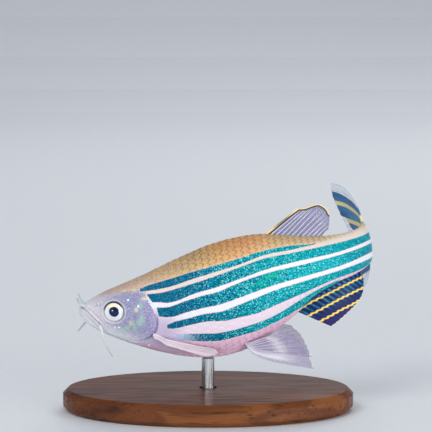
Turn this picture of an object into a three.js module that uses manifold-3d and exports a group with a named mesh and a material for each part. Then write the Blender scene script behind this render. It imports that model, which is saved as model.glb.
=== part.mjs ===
// A zebra danio (Danio rerio), a full-grown female, as a still, life-size model on a display stand.
// She swims nose down, her left side towards -Y, with the tail curled away from that side.
// Millimetres, +Z up, -X towards the snout. The origin is the middle of the base's underside.

import * as THREE from "three";
import { mergeVertices } from "three/addons/utils/BufferGeometryUtils.js";
import Module from "manifold-3d";

const wasm = await Module();
wasm.setup();

// Driving dimensions of the fish
const standardLength = 38; // snout to the end of the tail stalk, along the back
const headLength = 9.7; // snout to just behind the gill cover
const snoutTip = 0.02; // the solids begin this far behind the snout's very point
const jawEnd = 4; // the lower jaw is cut from the body up to here
const stalkStart = 30; // where the flank passes into the tail stalk
const gap = 0.3; // clearance between neighbouring pieces
const membrane = 0.48; // thickness of a fin between its rays
const finMargin = 0.3; // thickness of a fin at its free margin
const rayRelief = 0.12; // how far a ray stands out of the membrane on each side

// Pose
const pitch = THREE.MathUtils.degToRad(11.5); // nose down, tail up
const snoutAt = new THREE.Vector3(-15.05, 0, 11.85);
const bendStart = 20; // where the back begins to turn away
const stalkTurn = THREE.MathUtils.degToRad(96); // heading at the end of the stalk
const bendGrowth = 2.75; // how late in the tail the turn comes
const finTurn = THREE.MathUtils.degToRad(3.4); // further turn for each millimetre of tail fin

// Stand
const baseLength = 34;
const baseWidth = 20;
const baseHeight = 2.6;
const baseChamfer = 0.6;
const rodRadius = 0.75;
const rodAt = 0;
const rodBlank = 8; // length of the rod before its top is cut to the belly
const rodUnder = { from: 11, to: 18 }; // length of the belly that the rod's top is cut to
const socketDepth = 1.4;

// Body profiles: each pair is a distance from the snout and a size there.
const backLine = [
  [0, -0.3], [0.2, 0.27], [1.35, 0.85], [3.24, 1.49], [5.71, 2.02], [9.4, 2.82], [13.5, 3.84],
  [16.5, 4.43], [19.2, 4.64], [22.5, 4.46], [26.7, 3.36], [30, 2.62], [34, 2.3], [38, 2.62],
];
const bellyLine = [
  [0, -0.3], [0.12, -0.95], [1.05, -2.2], [2.95, -3.72], [5.75, -5.42], [10.25, -7.5],
  [13.6, -8.42], [16.2, -8.62], [19.2, -8.1], [22.9, -6.45], [25, -5.3], [27, -4.1], [29.4, -3.25],
  [34, -2.45], [38, -1.98],
];
const halfWidthLine = [
  [0, 0], [0.3, 0.62], [1, 1], [2.2, 1.45], [4, 1.95], [6, 2.35], [8.6, 2.7], [12, 3.1],
  [16, 3.35], [20, 3.15], [24, 2.55], [28, 1.85], [32, 1.2], [36, 0.68], [38, 0.45],
];
const widestLine = [
  [0, -0.3], [1, -0.5], [3, -0.8], [6, -1.5], [9, -2.1], [14, -2.7], [19, -2.2], [24, -0.9],
  [28, -0.4], [33, -0.1], [38, 0.3],
];

// Smooth value through the knots at distance s. It runs on the root of the distance, so a
// profile that leaves the snout comes off it round.
function profile(knots, s) {
  const q = Math.sqrt(Math.max(s, 0));
  const xs = knots.map((k) => Math.sqrt(k[0]));
  const ys = knots.map((k) => k[1]);
  const last = xs.length - 1;
  let i = 0;
  while (i < last - 1 && q > xs[i + 1]) i++;
  const slope = (j) => (ys[j + 1] - ys[j]) / (xs[j + 1] - xs[j]);
  const tangent = (j) => {
    if (j === 0) return slope(0);
    if (j === last) return slope(last - 1);
    const before = xs[j] - xs[j - 1];
    const after = xs[j + 1] - xs[j];
    return (slope(j - 1) * after + slope(j) * before) / (before + after);
  };
  const width = xs[i + 1] - xs[i];
  const t = Math.min((q - xs[i]) / width, 1);
  const rise = t * t * (3 - 2 * t);
  const lead = t * (1 - t) * (1 - t) * width * tangent(i);
  const trail = t * t * (t - 1) * width * tangent(i + 1);
  return ys[i] + (ys[i + 1] - ys[i]) * rise + lead + trail;
}

// Heading of the back at distance s: 0 along +X, growing as the tail turns towards +Y.
function heading(s) {
  const bent = Math.max(0, Math.min(s, standardLength) - bendStart) / (standardLength - bendStart);
  return stalkTurn * bent ** bendGrowth + finTurn * Math.max(0, s - standardLength);
}

// The back's own line, walked in small steps from the snout.
const backStep = 0.25;
const backPoints = [new THREE.Vector2(0, 0)];
for (let s = 0; s < standardLength + 14; s += backStep) {
  const turn = heading(s + backStep / 2);
  const step = new THREE.Vector2(Math.cos(turn), Math.sin(turn)).multiplyScalar(backStep);
  backPoints.push(backPoints[backPoints.length - 1].clone().add(step));
}

// A point of the fish: s along the back, side to its right, height above its axis.
function place(s, side, height) {
  const index = Math.min(Math.max(s, 0) / backStep, backPoints.length - 1.001);
  const i = Math.floor(index);
  const at = backPoints[i].clone().lerp(backPoints[i + 1], index - i);
  const turn = heading(s);
  const before = Math.min(s, 0);
  return new THREE.Vector3(
    at.x + before - Math.sin(turn) * side,
    at.y + Math.cos(turn) * side,
    height,
  );
}

// The skin at distance s and angle round the body, 0 at the back and PI at the belly.
const backRidge = 1.14; // above 1 narrows the upper half towards the back
const bellyRound = 0.92; // below 1 fills the lower half out
function skin(s, angle, grow = 0) {
  const top = profile(backLine, s);
  const bottom = profile(bellyLine, s);
  const level = profile(widestLine, s);
  const half = profile(halfWidthLine, s) + grow;
  const up = Math.cos(angle);
  const across = Math.sin(angle);
  const power = 1 + (backRidge - 1) * Math.max(up, 0) + (bellyRound - 1) * Math.max(-up, 0);
  const side = half * Math.sign(across) * Math.abs(across) ** power;
  const height = up > 0 ? level + (top + grow - level) * up : level + (level - bottom + grow) * up;
  return { side, height };
}

// Half the body's width at distance s and a height.
function halfWidthAt(s, height) {
  const level = profile(widestLine, s);
  const reach = height > level ? profile(backLine, s) - level : level - profile(bellyLine, s);
  const up = THREE.MathUtils.clamp((height - level) / reach, -1, 1);
  return skin(s, Math.acos(up)).side;
}

// A closed body from its corners and faces, turned so that its faces look outwards.
function closedBody(vertices, faces) {
  const made = new THREE.BufferGeometry();
  made.setAttribute("position", new THREE.Float32BufferAttribute(vertices, 3));
  const corner = (i) => new THREE.Vector3().fromArray(vertices, faces[i] * 3);
  let volume = 0;
  for (let i = 0; i < faces.length; i += 3) {
    volume += corner(i).dot(corner(i + 1).cross(corner(i + 2)));
  }
  made.setIndex(volume < 0 ? faces.reverse() : faces);
  return made;
}

// Rings of points joined into one closed body, each end capped from its middle.
function ringBody(rings) {
  const around = rings[0].length;
  const vertices = [];
  const faces = [];
  rings.forEach((ring) => ring.forEach((p) => vertices.push(p.x, p.y, p.z)));
  for (let i = 0; i + 1 < rings.length; i++) {
    for (let j = 0; j < around; j++) {
      const k = (j + 1) % around;
      const a = i * around + j;
      const b = i * around + k;
      faces.push(a, b, a + around, b, b + around, a + around);
    }
  }
  [0, rings.length - 1].forEach((i) => {
    const middle = new THREE.Vector3();
    rings[i].forEach((p) => middle.addScaledVector(p, 1 / around));
    vertices.push(middle.x, middle.y, middle.z);
    const centre = vertices.length / 3 - 1;
    for (let j = 0; j < around; j++) {
      const k = (j + 1) % around;
      const a = i * around + j;
      const b = i * around + k;
      faces.push(...(i === 0 ? [centre, b, a] : [centre, a, b]));
    }
  });
  return closedBody(vertices, faces);
}

// A closed geometry as a solid that can be joined and cut.
function solidOf(geometry) {
  const bare = geometry.clone();
  bare.deleteAttribute("normal");
  bare.deleteAttribute("uv");
  const merged = mergeVertices(bare, 1e-4);
  const corners = merged.index.array;
  const kept = [];
  for (let i = 0; i < corners.length; i += 3) {
    const [a, b, c] = corners.slice(i, i + 3);
    if (a !== b && b !== c && a !== c) kept.push(a, b, c);
  }
  const mesh = { numProp: 3, vertProperties: merged.attributes.position.array };
  return new wasm.Manifold(new wasm.Mesh({ ...mesh, triVerts: new Uint32Array(kept) }));
}

// The largest closed body of a solid, as a geometry.
function geometryOf(solid) {
  const largest = solid.decompose().reduce((a, b) => (a.volume() > b.volume() ? a : b));
  const { numProp, vertProperties, triVerts } = largest.getMesh();
  const positions = new Float32Array((vertProperties.length / numProp) * 3);
  for (let i = 0; i < positions.length / 3; i++) {
    positions.set(vertProperties.subarray(i * numProp, i * numProp + 3), i * 3);
  }
  const made = new THREE.BufferGeometry();
  made.setAttribute("position", new THREE.BufferAttribute(positions, 3));
  made.setIndex(new THREE.BufferAttribute(triVerts, 1));
  return made;
}

// A length of the body between two distances from the snout.
function bodyLength(from, to, { stations, around, grow = 0, crowd = 1 }) {
  const rings = [];
  for (let i = 0; i <= stations; i++) {
    const s = from + (to - from) * (i / stations) ** crowd;
    const ring = [];
    for (let j = 0; j < around; j++) {
      const { side, height } = skin(s, (2 * Math.PI * j) / around, grow);
      ring.push(place(s, side, height));
    }
    rings.push(ring);
  }
  return ringBody(rings);
}

// A tapering tube along a smooth line.
function taperedTube(points, rootRadius, tipRadius, steps, sides) {
  const curve = new THREE.CatmullRomCurve3(points);
  const frames = curve.computeFrenetFrames(steps);
  const rings = [];
  for (let i = 0; i <= steps; i++) {
    const centre = curve.getPointAt(i / steps);
    const radius = rootRadius + (tipRadius - rootRadius) * (i / steps);
    const ring = [];
    for (let j = 0; j < sides; j++) {
      const angle = (2 * Math.PI * j) / sides;
      ring.push(
        centre
          .clone()
          .addScaledVector(frames.normals[i], Math.cos(angle) * radius)
          .addScaledVector(frames.binormals[i], Math.sin(angle) * radius),
      );
    }
    rings.push(ring);
  }
  return ringBody(rings);
}

// A tube of even thickness round a closed smooth line.
function closedTube(points, radius, steps, sides) {
  const curve = new THREE.CatmullRomCurve3(points, true);
  const frames = curve.computeFrenetFrames(steps, true);
  const vertices = [];
  const faces = [];
  for (let i = 0; i < steps; i++) {
    const centre = curve.getPointAt(i / steps);
    for (let j = 0; j < sides; j++) {
      const angle = (2 * Math.PI * j) / sides;
      const p = centre
        .clone()
        .addScaledVector(frames.normals[i], Math.cos(angle) * radius)
        .addScaledVector(frames.binormals[i], Math.sin(angle) * radius);
      vertices.push(p.x, p.y, p.z);
      const k = (j + 1) % sides;
      const ahead = ((i + 1) % steps) * sides;
      const [a, b] = [i * sides + j, i * sides + k];
      faces.push(a, b, ahead + j, b, ahead + k, ahead + j);
    }
  }
  return closedBody(vertices, faces);
}

// A fin: rays run from a root line to the free margin, each a ridge with a valley beside it.
// locate turns a place in the fin's own flat pattern, and a distance off its face, into a point.
const membraneEnd = 0.97; // the membrane stops a little short of the ray tips
const rayFlattening = 0.7; // how much of its relief a ray has lost at the margin
const finRows = 6;
function fin(rays, rows, locate) {
  const lines = [];
  rays.forEach((ray, i) => {
    lines.push({ root: ray.root, tip: ray.tip, raised: rayRelief });
    if (i === rays.length - 1) return;
    const root = ray.root.clone().lerp(rays[i + 1].root, 0.5);
    const tip = ray.tip.clone().lerp(rays[i + 1].tip, 0.5).lerp(root, 1 - membraneEnd);
    lines.push({ root, tip, raised: 0 });
  });
  const rings = [];
  for (let r = 0; r <= rows; r++) {
    const along = r / rows;
    const half = (membrane + (finMargin - membrane) * along ** 4) / 2;
    const face = (way) =>
      lines.map(({ root, tip, raised }, i) => {
        const at = root.clone().lerp(tip, along);
        const off = way * (half + raised * (1 - rayFlattening * along));
        return locate(at.x, at.y, off, along, i / (lines.length - 1));
      });
    rings.push([...face(-1), ...face(1).reverse()]);
  }
  return sheetBody(rings, lines.length);
}

// Rings that each run up one face of a sheet and back down the other, closed at root and margin
// by strips, so that both faces and both ends have no thin fans.
function sheetBody(rings, across) {
  const around = 2 * across;
  const vertices = rings.flat().flatMap((p) => [p.x, p.y, p.z]);
  const faces = [];
  for (let i = 0; i + 1 < rings.length; i++) {
    for (let j = 0; j < around; j++) {
      const k = (j + 1) % around;
      const a = i * around + j;
      const b = i * around + k;
      // The second face mirrors the first, so its diagonals run the other way in the ring.
      if (j < across) faces.push(a, b, a + around, b, b + around, a + around);
      else faces.push(a, b, b + around, a, b + around, a + around);
    }
  }
  const end = (start, flip) => {
    for (let j = 0; j + 1 < across; j++) {
      const a = start + j;
      const b = start + j + 1;
      const c = start + around - 2 - j;
      const d = start + around - 1 - j;
      faces.push(...(flip ? [a, c, b, a, d, c] : [a, b, c, a, c, d]));
    }
  };
  end(0, true);
  end((rings.length - 1) * around, false);
  return closedBody(vertices, faces);
}

// Points spaced evenly along a smooth line through a fin's margin.
function alongLine(points, count) {
  const curve = new THREE.SplineCurve(points.map(([x, y]) => new THREE.Vector2(x, y)));
  return curve.getSpacedPoints(count - 1);
}

// Rays that join evenly spaced roots to evenly spaced places on the margin.
function raysBetween(rootLine, margin, count) {
  const roots = alongLine(rootLine, count);
  const tips = alongLine(margin, count);
  return roots.map((root, i) => ({ root, tip: tips[i] }));
}

const flesh = new THREE.Group(); // the fish, snout at the group's origin
flesh.position.copy(snoutAt);
flesh.rotation.y = -pitch;

const part = new THREE.Group();
part.add(flesh);

const finish = {
  head: { color: 0xc9c0d2, roughness: 0.35, metalness: 0.15 },
  flank: { color: 0x1f8ba3, roughness: 0.35, metalness: 0.2 },
  eye: { color: 0xf1eedd, roughness: 0.1, metalness: 0 },
  barbel: { color: 0xd9dcd6, roughness: 0.4, metalness: 0 },
  clearFin: { color: 0xb6b9cd, roughness: 0.3, metalness: 0 },
  darkFin: { color: 0x1d3a6b, roughness: 0.35, metalness: 0.1 },
  wood: { color: 0x4a2f1d, roughness: 0.45, metalness: 0 },
  metal: { color: 0xb9bcc0, roughness: 0.25, metalness: 1 },
};

function addNode(group, name, geometry, look) {
  const mesh = new THREE.Mesh(geometry, new THREE.MeshStandardMaterial(look));
  mesh.name = name;
  group.add(mesh);
}

const sides = [
  { word: "left", way: -1 },
  { word: "right", way: 1 },
];

// Eye: a flattened ball that stands a little proud of the head.
const eyeAt = { s: 4.1, height: -0.77 };
const eyeRadius = 1.2;
const eyeDepth = 0.85;
const eyeProud = 0.4;
const eyeTurn = 0.22; // the eyes look a little forward
function eyeBall(way, grow) {
  const ball = new THREE.SphereGeometry(1, 16, 10);
  ball.rotateX(Math.PI / 2);
  ball.scale(eyeRadius + grow, eyeDepth + grow, eyeRadius + grow);
  ball.rotateZ(way * eyeTurn);
  const side = halfWidthAt(eyeAt.s, eyeAt.height) - eyeDepth + eyeProud;
  const centre = place(eyeAt.s, way * side, eyeAt.height);
  ball.translate(centre.x, centre.y, centre.z);
  return ball;
}

// Rim of skin round the eye
const rimRadius = 1.4;
const rimThickness = 0.15;
const rimCorners = 24;
function eyeRim(way) {
  const points = [];
  for (let i = 0; i < rimCorners; i++) {
    const angle = (2 * Math.PI * i) / rimCorners;
    const s = eyeAt.s + rimRadius * Math.cos(angle);
    const height = eyeAt.height + rimRadius * Math.sin(angle);
    points.push(place(s, way * halfWidthAt(s, height), height));
  }
  return closedTube(points, rimThickness, rimCorners, 6);
}

// Nostril: a pit between eye and snout
const nostrilAt = { s: 2.3, height: 0.3 };
const nostrilRadius = 0.22;
function nostril(way) {
  const pit = new THREE.SphereGeometry(nostrilRadius, 8, 6);
  const side = halfWidthAt(nostrilAt.s, nostrilAt.height);
  return pit.translate(nostrilAt.s, way * side, nostrilAt.height);
}

// Gill cover: a plate over the cheek, let into the head.
const coverOutline = [
  [6.35, -0.75], [6.9, -0.1], [7.75, 0.05], [8.4, -0.7], [8.75, -1.7], [8.82, -2.5], [8.7, -3.1],
  [8.35, -3.8], [7.7, -4.35], [6.9, -4.65], [6, -4.7], [5.2, -4.4], [5.05, -3.85], [5.7, -3],
  [6.1, -1.9],
];
const coverThickness = 0.6;
const coverProud = 0.12;
const coverCorners = 28;
const cheekFrom = 0.4; // the prism that cuts a cover reaches from here to past the skin
const cheekTo = 6;
const cheek = { stations: 10, around: 36 }; // mesh of the body lengths a cover is cut from
function coverPrism(way, grow) {
  const points = coverOutline.map(([x, y]) => new THREE.Vector3(x, 0, y));
  const curve = new THREE.CatmullRomCurve3(points, true);
  const outline = [];
  for (let i = 0; i < coverCorners; i++) {
    const along = curve.getTangentAt(i / coverCorners);
    const out = new THREE.Vector3(-along.z, 0, along.x);
    outline.push(curve.getPointAt(i / coverCorners).addScaledVector(out, grow));
  }
  const reach = way > 0 ? [cheekFrom, cheekTo] : [-cheekTo, -cheekFrom];
  const rings = reach.map((side) => outline.map((p) => p.clone().setY(side)));
  return ringBody(rings);
}

function gillCover(way) {
  const outer = solidOf(bodyLength(4, headLength, { ...cheek, grow: coverProud }));
  const depth = coverProud - coverThickness;
  const inner = solidOf(bodyLength(3.5, headLength + 1, { ...cheek, grow: depth }));
  return outer.subtract(inner).intersect(solidOf(coverPrism(way, 0)));
}

function coverPocket(way) {
  const outer = solidOf(bodyLength(3.5, headLength + 1, { ...cheek, grow: coverThickness * 2 }));
  const depth = coverProud - coverThickness - gap;
  const inner = solidOf(bodyLength(3, headLength + 2, { ...cheek, stations: 12, grow: depth }));
  return outer.subtract(inner).intersect(solidOf(coverPrism(way, gap)));
}

// Mouth: a slanting slit that parts the lower jaw from the head.
const gapeLine = [
  [-1.2, 0.8], [0.2, 0.36], [0.93, -0.21], [1.35, -0.8], [1.84, -1.53], [2.3, -2.1],
];
const jawRear = [[2.75, -3.3], [3.1, -4.8]];
const jawFront = [-1.2, -4.8];
const jawHalfWidth = 3; // past the skin on either side
const gapeShift = { s: 0.6, height: 0.8 }; // moves the slanting slit square to itself
function jawPrism(grow) {
  const gape = new THREE.SplineCurve(gapeLine.map(([x, y]) => new THREE.Vector2(x, y)));
  const upper = gape.getPoints(12);
  const outline = [
    ...upper.map((p) => new THREE.Vector2(p.x + grow * gapeShift.s, p.y + grow * gapeShift.height)),
    ...jawRear.map(([x, y]) => new THREE.Vector2(x + grow, y)),
    new THREE.Vector2(...jawFront),
  ];
  const reach = [-jawHalfWidth, jawHalfWidth];
  const rings = reach.map((side) => outline.map((p) => new THREE.Vector3(p.x, side, p.y)));
  return solidOf(ringBody(rings));
}

// Lips: a roll of skin along each side of the mouth's slit, from corner to corner.
const lipRadius = 0.2;
const lipSunk = 0.03;
const lipLines = {
  upper: [[0.52, 0.4], [1.1, 0], [1.53, -0.6], [2.02, -1.35], [2.45, -1.93]],
  lower: [[0.1, -0.02], [0.72, -0.42], [1.15, -1], [1.64, -1.7], [2.1, -2.25]],
};
function lip([middle, ...line]) {
  const flank = line.map(([s, height]) => ({ s, height, side: halfWidthAt(s, height) - lipSunk }));
  const near = flank.map((p) => place(p.s, -p.side, p.height));
  const far = flank.map((p) => place(p.s, p.side, p.height));
  const points = [...near.reverse(), place(middle[0] + lipSunk, 0, middle[1]), ...far];
  return solidOf(taperedTube(points, lipRadius, lipRadius, 24, 8));
}

const head = (() => {
  let solid = solidOf(bodyLength(snoutTip, headLength, { stations: 22, around: 40, crowd: 1.5 }));
  solid = solid.add(lip(lipLines.upper));
  solid = solid.subtract(jawPrism(gap / 2));
  sides.forEach(({ way }) => {
    solid = solid.add(solidOf(eyeRim(way)));
    solid = solid.subtract(coverPocket(way));
    solid = solid.subtract(solidOf(eyeBall(way, gap)));
    solid = solid.subtract(solidOf(nostril(way)));
  });
  return solid;
})();

const jaw = (() => {
  const chin = solidOf(bodyLength(snoutTip, jawEnd, { stations: 14, around: 40, crowd: 1.5 }));
  return chin.add(lip(lipLines.lower)).intersect(jawPrism(-gap / 2));
})();

addNode(flesh, "head", geometryOf(head), finish.head);
addNode(flesh, "lower_jaw", geometryOf(jaw), finish.head);
sides.forEach(({ word, way }) => {
  addNode(flesh, `gill_cover_${word}`, geometryOf(gillCover(way)), finish.head);
  addNode(flesh, `eye_${word}`, eyeBall(way, 0), finish.eye);
});

// Trunk and tail stalk
addNode(
  flesh,
  "trunk",
  bodyLength(headLength + gap, stalkStart, { stations: 22, around: 36 }),
  finish.flank,
);
addNode(
  flesh,
  "tail_stalk",
  bodyLength(stalkStart + gap, standardLength, { stations: 14, around: 30 }),
  finish.flank,
);

// Barbels: a short pair on the snout and a long pair at the corners of the mouth.
const snoutBarbel = { root: [0.72, 0.42], reach: [[-0.4, 0.2, 0.55], [-0.55, 0.45, 1.25]] };
const mouthBarbel = {
  left: { root: [2.15, -2.25], reach: [[0.15, 0.35, -1.1], [0.3, 0.45, -2.2], [0.75, 0.5, -3.6]] },
  right: { root: [2.15, -2.2], reach: [[-0.8, 0.6, 0.4], [-1.9, 0.9, 0.15], [-3.1, 1.2, -0.85]] },
};
const barbelClearance = 0.62; // from the skin to the root's middle, past the lip's roll
const barbelRoot = 0.25;
const barbelTip = 0.09;
function barbel({ root, reach }, way) {
  const [s, height] = root;
  const side = halfWidthAt(s, height) + barbelClearance;
  const start = place(s, way * side, height);
  const points = [start, ...reach.map(([x, y, z]) => start.clone().add(new THREE.Vector3(x, way * y, z)))];
  return taperedTube(points, barbelRoot, barbelTip, 8, 8);
}
sides.forEach(({ word, way }) => {
  addNode(flesh, `snout_barbel_${word}`, barbel(snoutBarbel, way), finish.barbel);
  addNode(flesh, `mouth_barbel_${word}`, barbel(mouthBarbel[word], way), finish.barbel);
});

// Median fins lie in the fish's own middle surface and follow its bend.
const median = (sway) => (s, height, off, along) => place(s, off + sway * along ** 2, height);

const dorsalRoot = [23.2, 25.3, 27.4, 29.6].map((s) => [s, profile(backLine, s) + gap]);
const dorsalMargin = [
  [27.3, 6.62], [28.2, 6.5], [28.9, 6.58], [29.8, 6.6], [30.45, 6.2], [30.85, 5.65], [31, 5.1],
  [30.8, 4.2], [30.55, 3.35],
];
const dorsalRays = 9;
const dorsalSway = -0.5; // how far the margin leans to the left
const dorsalFin = fin(raysBetween(dorsalRoot, dorsalMargin, dorsalRays), finRows, median(dorsalSway));
addNode(flesh, "dorsal_fin", dorsalFin, finish.clearFin);

const analRoot = [24.6, 27.6, 30.6, 33.5].map((s) => [s, profile(bellyLine, s) - gap]);
const analMargin = [
  [28.4, -7.8], [29.4, -7.35], [31.2, -6.4], [32.5, -5.6], [33.3, -4.6], [33.6, -3.3],
];
const analRays = 14;
const analSway = -0.4;
const analFin = fin(raysBetween(analRoot, analMargin, analRays), finRows, median(analSway));
addNode(flesh, "anal_fin", analFin, finish.darkFin);

const tailBase = standardLength + gap;
const tailRoot = [[tailBase, -1.85], [tailBase, 0.3], [tailBase, 2.5]];
const tailMargin = [
  [46, -6.9], [46, -5.1], [45.1, -2.5], [44, 0.3], [45.1, 3], [46, 5.2], [46, 6.8],
];
const tailRays = 19;
const tailRows = 9;
const tailBow = 0.33; // how far the outer rays bow away from the middle ray
const tailFlare = 0.6; // below 1 brings the widest of the bow nearer the stalk
const bowed = (s, height, off, along) =>
  place(s, off, height * (1 + tailBow * Math.sin(Math.PI * along ** tailFlare)));
const tailFin = fin(raysBetween(tailRoot, tailMargin, tailRays), tailRows, bowed);
addNode(flesh, "tail_fin", tailFin, finish.darkFin);

// Rays that fan out from a short root line. Angles are in degrees from the pattern's x.
function fannedRays({ fan, lengths, rootSpread, rootTilt, count }) {
  const along = new THREE.Vector2(1, 0).rotateAround(new THREE.Vector2(), rootTilt);
  const rays = [];
  for (let i = 0; i < count; i++) {
    const t = i / (count - 1);
    const angle = THREE.MathUtils.degToRad(fan[0] + (fan[1] - fan[0]) * t);
    const root = along.clone().multiplyScalar(rootSpread * (t - 0.5));
    const ray = new THREE.Vector2(Math.cos(angle), Math.sin(angle));
    rays.push({ root, tip: ray.multiplyScalar(profile(lengths, t)).add(root) });
  }
  return rays;
}

// Pectoral fin: folded back along the low flank, a little off the skin.
const pectoralAt = { s: 8.2, angle: THREE.MathUtils.degToRad(119) };
const pectoralRoundness = 4; // millimetres of flank for each radian round the body
const pectoralLift = { root: 0.62, tip: 1.1 }; // off the skin
function pectoralFin(way) {
  const rays = fannedRays({
    fan: [6, 10.5],
    lengths: [[0, 5.8], [0.35, 6.6], [0.7, 6.4], [1, 5.2]],
    rootSpread: 0.5,
    rootTilt: Math.PI / 2,
    count: 6,
  });
  const locate = (x, y, off, along) => {
    const lift = pectoralLift.root + (pectoralLift.tip - pectoralLift.root) * along ** 2;
    const s = pectoralAt.s + x;
    const { side, height } = skin(s, pectoralAt.angle + y / pectoralRoundness, lift + off);
    return place(s, way * side, height);
  };
  return fin(rays, finRows, locate);
}

// Pelvic fin: spread behind the belly, its leading edge outwards.
const pelvicAt = { s: 18.7, side: 2.36, height: -7.64 };
const pelvicSplay = [8, 0, 3].map(THREE.MathUtils.degToRad);
const pelvicCup = 0.15; // how far the margin curves outwards
const pelvicBow = 0.8; // how far the leading ray sags below a straight line
function pelvicFin(way) {
  const rays = fannedRays({
    fan: [-29, 8.5],
    lengths: [[0, 7.9], [0.12, 7.4], [0.25, 6.95], [0.4, 6.5], [0.57, 6], [0.7, 5.5], [0.85, 5], [1, 3.7]],
    rootSpread: 0.5,
    rootTilt: 1.2,
    count: 9,
  });
  const attitude = new THREE.Euler(...pelvicSplay, "ZYX");
  const root = place(pelvicAt.s, way * pelvicAt.side, pelvicAt.height);
  const locate = (x, y, off, along, across) => {
    const sag = pelvicBow * (1 - across) * Math.sin(Math.PI * Math.sqrt(along));
    const p = new THREE.Vector3(x, off + pelvicCup * along ** 2, y - sag).applyEuler(attitude);
    return new THREE.Vector3(root.x + p.x, root.y + way * p.y, root.z + p.z);
  };
  return fin(rays, finRows, locate);
}

sides.forEach(({ word, way }) => {
  addNode(flesh, `pectoral_fin_${word}`, pectoralFin(way), finish.clearFin);
  addNode(flesh, `pelvic_fin_${word}`, pelvicFin(way), finish.clearFin);
});

// Stand: an oval wooden base with a metal rod in a blind socket.
const baseShape = new THREE.Shape();
baseShape.absellipse(0, 0, baseLength / 2 - baseChamfer, baseWidth / 2 - baseChamfer, 0, 2 * Math.PI);
const basePlate = new THREE.ExtrudeGeometry(baseShape, {
  depth: baseHeight - 2 * baseChamfer,
  bevelEnabled: true,
  bevelSize: baseChamfer,
  bevelThickness: baseChamfer,
  bevelSegments: 1,
  curveSegments: 24,
}).translate(0, 0, baseChamfer);
const socket = new THREE.CylinderGeometry(rodRadius + gap, rodRadius + gap, socketDepth * 2, 24);
socket.rotateX(Math.PI / 2).translate(rodAt, 0, baseHeight);
addNode(part, "stand_base", geometryOf(solidOf(basePlate).subtract(solidOf(socket))), finish.wood);

const rodFoot = baseHeight - socketDepth + gap;
const rod = new THREE.CylinderGeometry(rodRadius, rodRadius, rodBlank, 16);
rod.rotateX(Math.PI / 2).translate(rodAt, 0, rodFoot + rodBlank / 2);
const belly = bodyLength(rodUnder.from, rodUnder.to, { stations: 10, around: 36, grow: gap });
belly.rotateY(-pitch).translate(snoutAt.x, snoutAt.y, snoutAt.z);
addNode(part, "stand_rod", geometryOf(solidOf(rod).subtract(solidOf(belly))), finish.metal);

export default part;
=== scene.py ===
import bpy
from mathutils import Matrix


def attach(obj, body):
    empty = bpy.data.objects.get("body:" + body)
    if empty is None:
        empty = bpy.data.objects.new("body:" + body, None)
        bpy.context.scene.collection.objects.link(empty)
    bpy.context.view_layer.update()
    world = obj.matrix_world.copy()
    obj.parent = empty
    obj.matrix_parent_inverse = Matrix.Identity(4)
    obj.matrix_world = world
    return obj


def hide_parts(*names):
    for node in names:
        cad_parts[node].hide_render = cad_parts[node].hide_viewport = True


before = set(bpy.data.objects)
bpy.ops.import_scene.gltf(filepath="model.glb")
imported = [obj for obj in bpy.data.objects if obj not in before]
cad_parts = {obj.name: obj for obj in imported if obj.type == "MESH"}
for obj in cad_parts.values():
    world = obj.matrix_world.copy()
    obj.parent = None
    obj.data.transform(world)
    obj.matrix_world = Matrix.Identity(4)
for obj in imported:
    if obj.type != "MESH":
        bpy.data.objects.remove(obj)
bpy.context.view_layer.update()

from types import SimpleNamespace

import bmesh
import bpy
import numpy as np
from mathutils import Vector

# Skin of the whole fish: one coat over head, jaw, gill covers, trunk and tail stalk.
# On the real animal it is a thin, slippery layer over muscle and bone; on the model it is cast
# resin, with the mouth, nostrils, eye sockets and gill openings sunk into it.
mm = 0.001
standard_length = 38.0
stalk_end = 0.7
pitch = np.radians(11.5)
snout_at = (-15.05, 0.0, 11.85)
bend_start = 20.0
stalk_turn = np.radians(96)
bend_growth = 2.75
fin_turn = np.radians(3.4)
back_step = 0.25
back_ridge = 1.14
belly_round = 0.92
back_line = [
    (0, -0.3), (0.2, 0.27), (1.35, 0.85), (3.24, 1.49), (5.71, 2.02), (9.4, 2.82), (13.5, 3.84),
    (16.5, 4.43), (19.2, 4.64), (22.5, 4.46), (26.7, 3.36), (30, 2.62), (34, 2.3), (38, 2.62),
]
belly_line = [
    (0, -0.3), (0.12, -0.95), (1.05, -2.2), (2.95, -3.72), (5.75, -5.42), (10.25, -7.5),
    (13.6, -8.42), (16.2, -8.62), (19.2, -8.1), (22.9, -6.45), (25, -5.3), (27, -4.1),
    (29.4, -3.25), (34, -2.45), (38, -1.98),
]
half_width_line = [
    (0, 0), (0.3, 0.62), (1, 1), (2.2, 1.45), (4, 1.95), (6, 2.35), (8.6, 2.7), (12, 3.1),
    (16, 3.35), (20, 3.15), (24, 2.55), (28, 1.85), (32, 1.2), (36, 0.68), (38, 0.45),
]
widest_line = [
    (0, -0.3), (1, -0.5), (3, -0.8), (6, -1.5), (9, -2.1), (14, -2.7), (19, -2.2), (24, -0.9),
    (28, -0.4), (33, -0.1), (38, 0.3),
]


def profile(knots, s):
    """Smooth value through the knots at distance s: a cubic between each two knots, worked out
    over the square root of the distance, so that a line leaves the snout round."""
    knots = np.array(knots, float)
    x, y = np.sqrt(knots[:, 0]), knots[:, 1]
    q = np.sqrt(np.maximum(s, 0))
    widths = np.diff(x)
    slopes = np.diff(y) / widths
    lean = np.concatenate([slopes[:1], slopes[:-1], slopes[-1:]])[: len(x)]
    lean[1:-1] = (slopes[:-1] * widths[1:] + slopes[1:] * widths[:-1]) / (widths[:-1] + widths[1:])
    lean[-1] = slopes[-1]
    i = np.clip(np.searchsorted(x, q, side="left") - 1, 0, len(widths) - 1)
    w = widths[i]
    t = np.minimum((q - x[i]) / w, 1)
    rise = (y[i + 1] - y[i]) * t * t * (3 - 2 * t)
    return y[i] + rise + t * (1 - t) ** 2 * w * lean[i] + t * t * (t - 1) * w * lean[i + 1]


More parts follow.
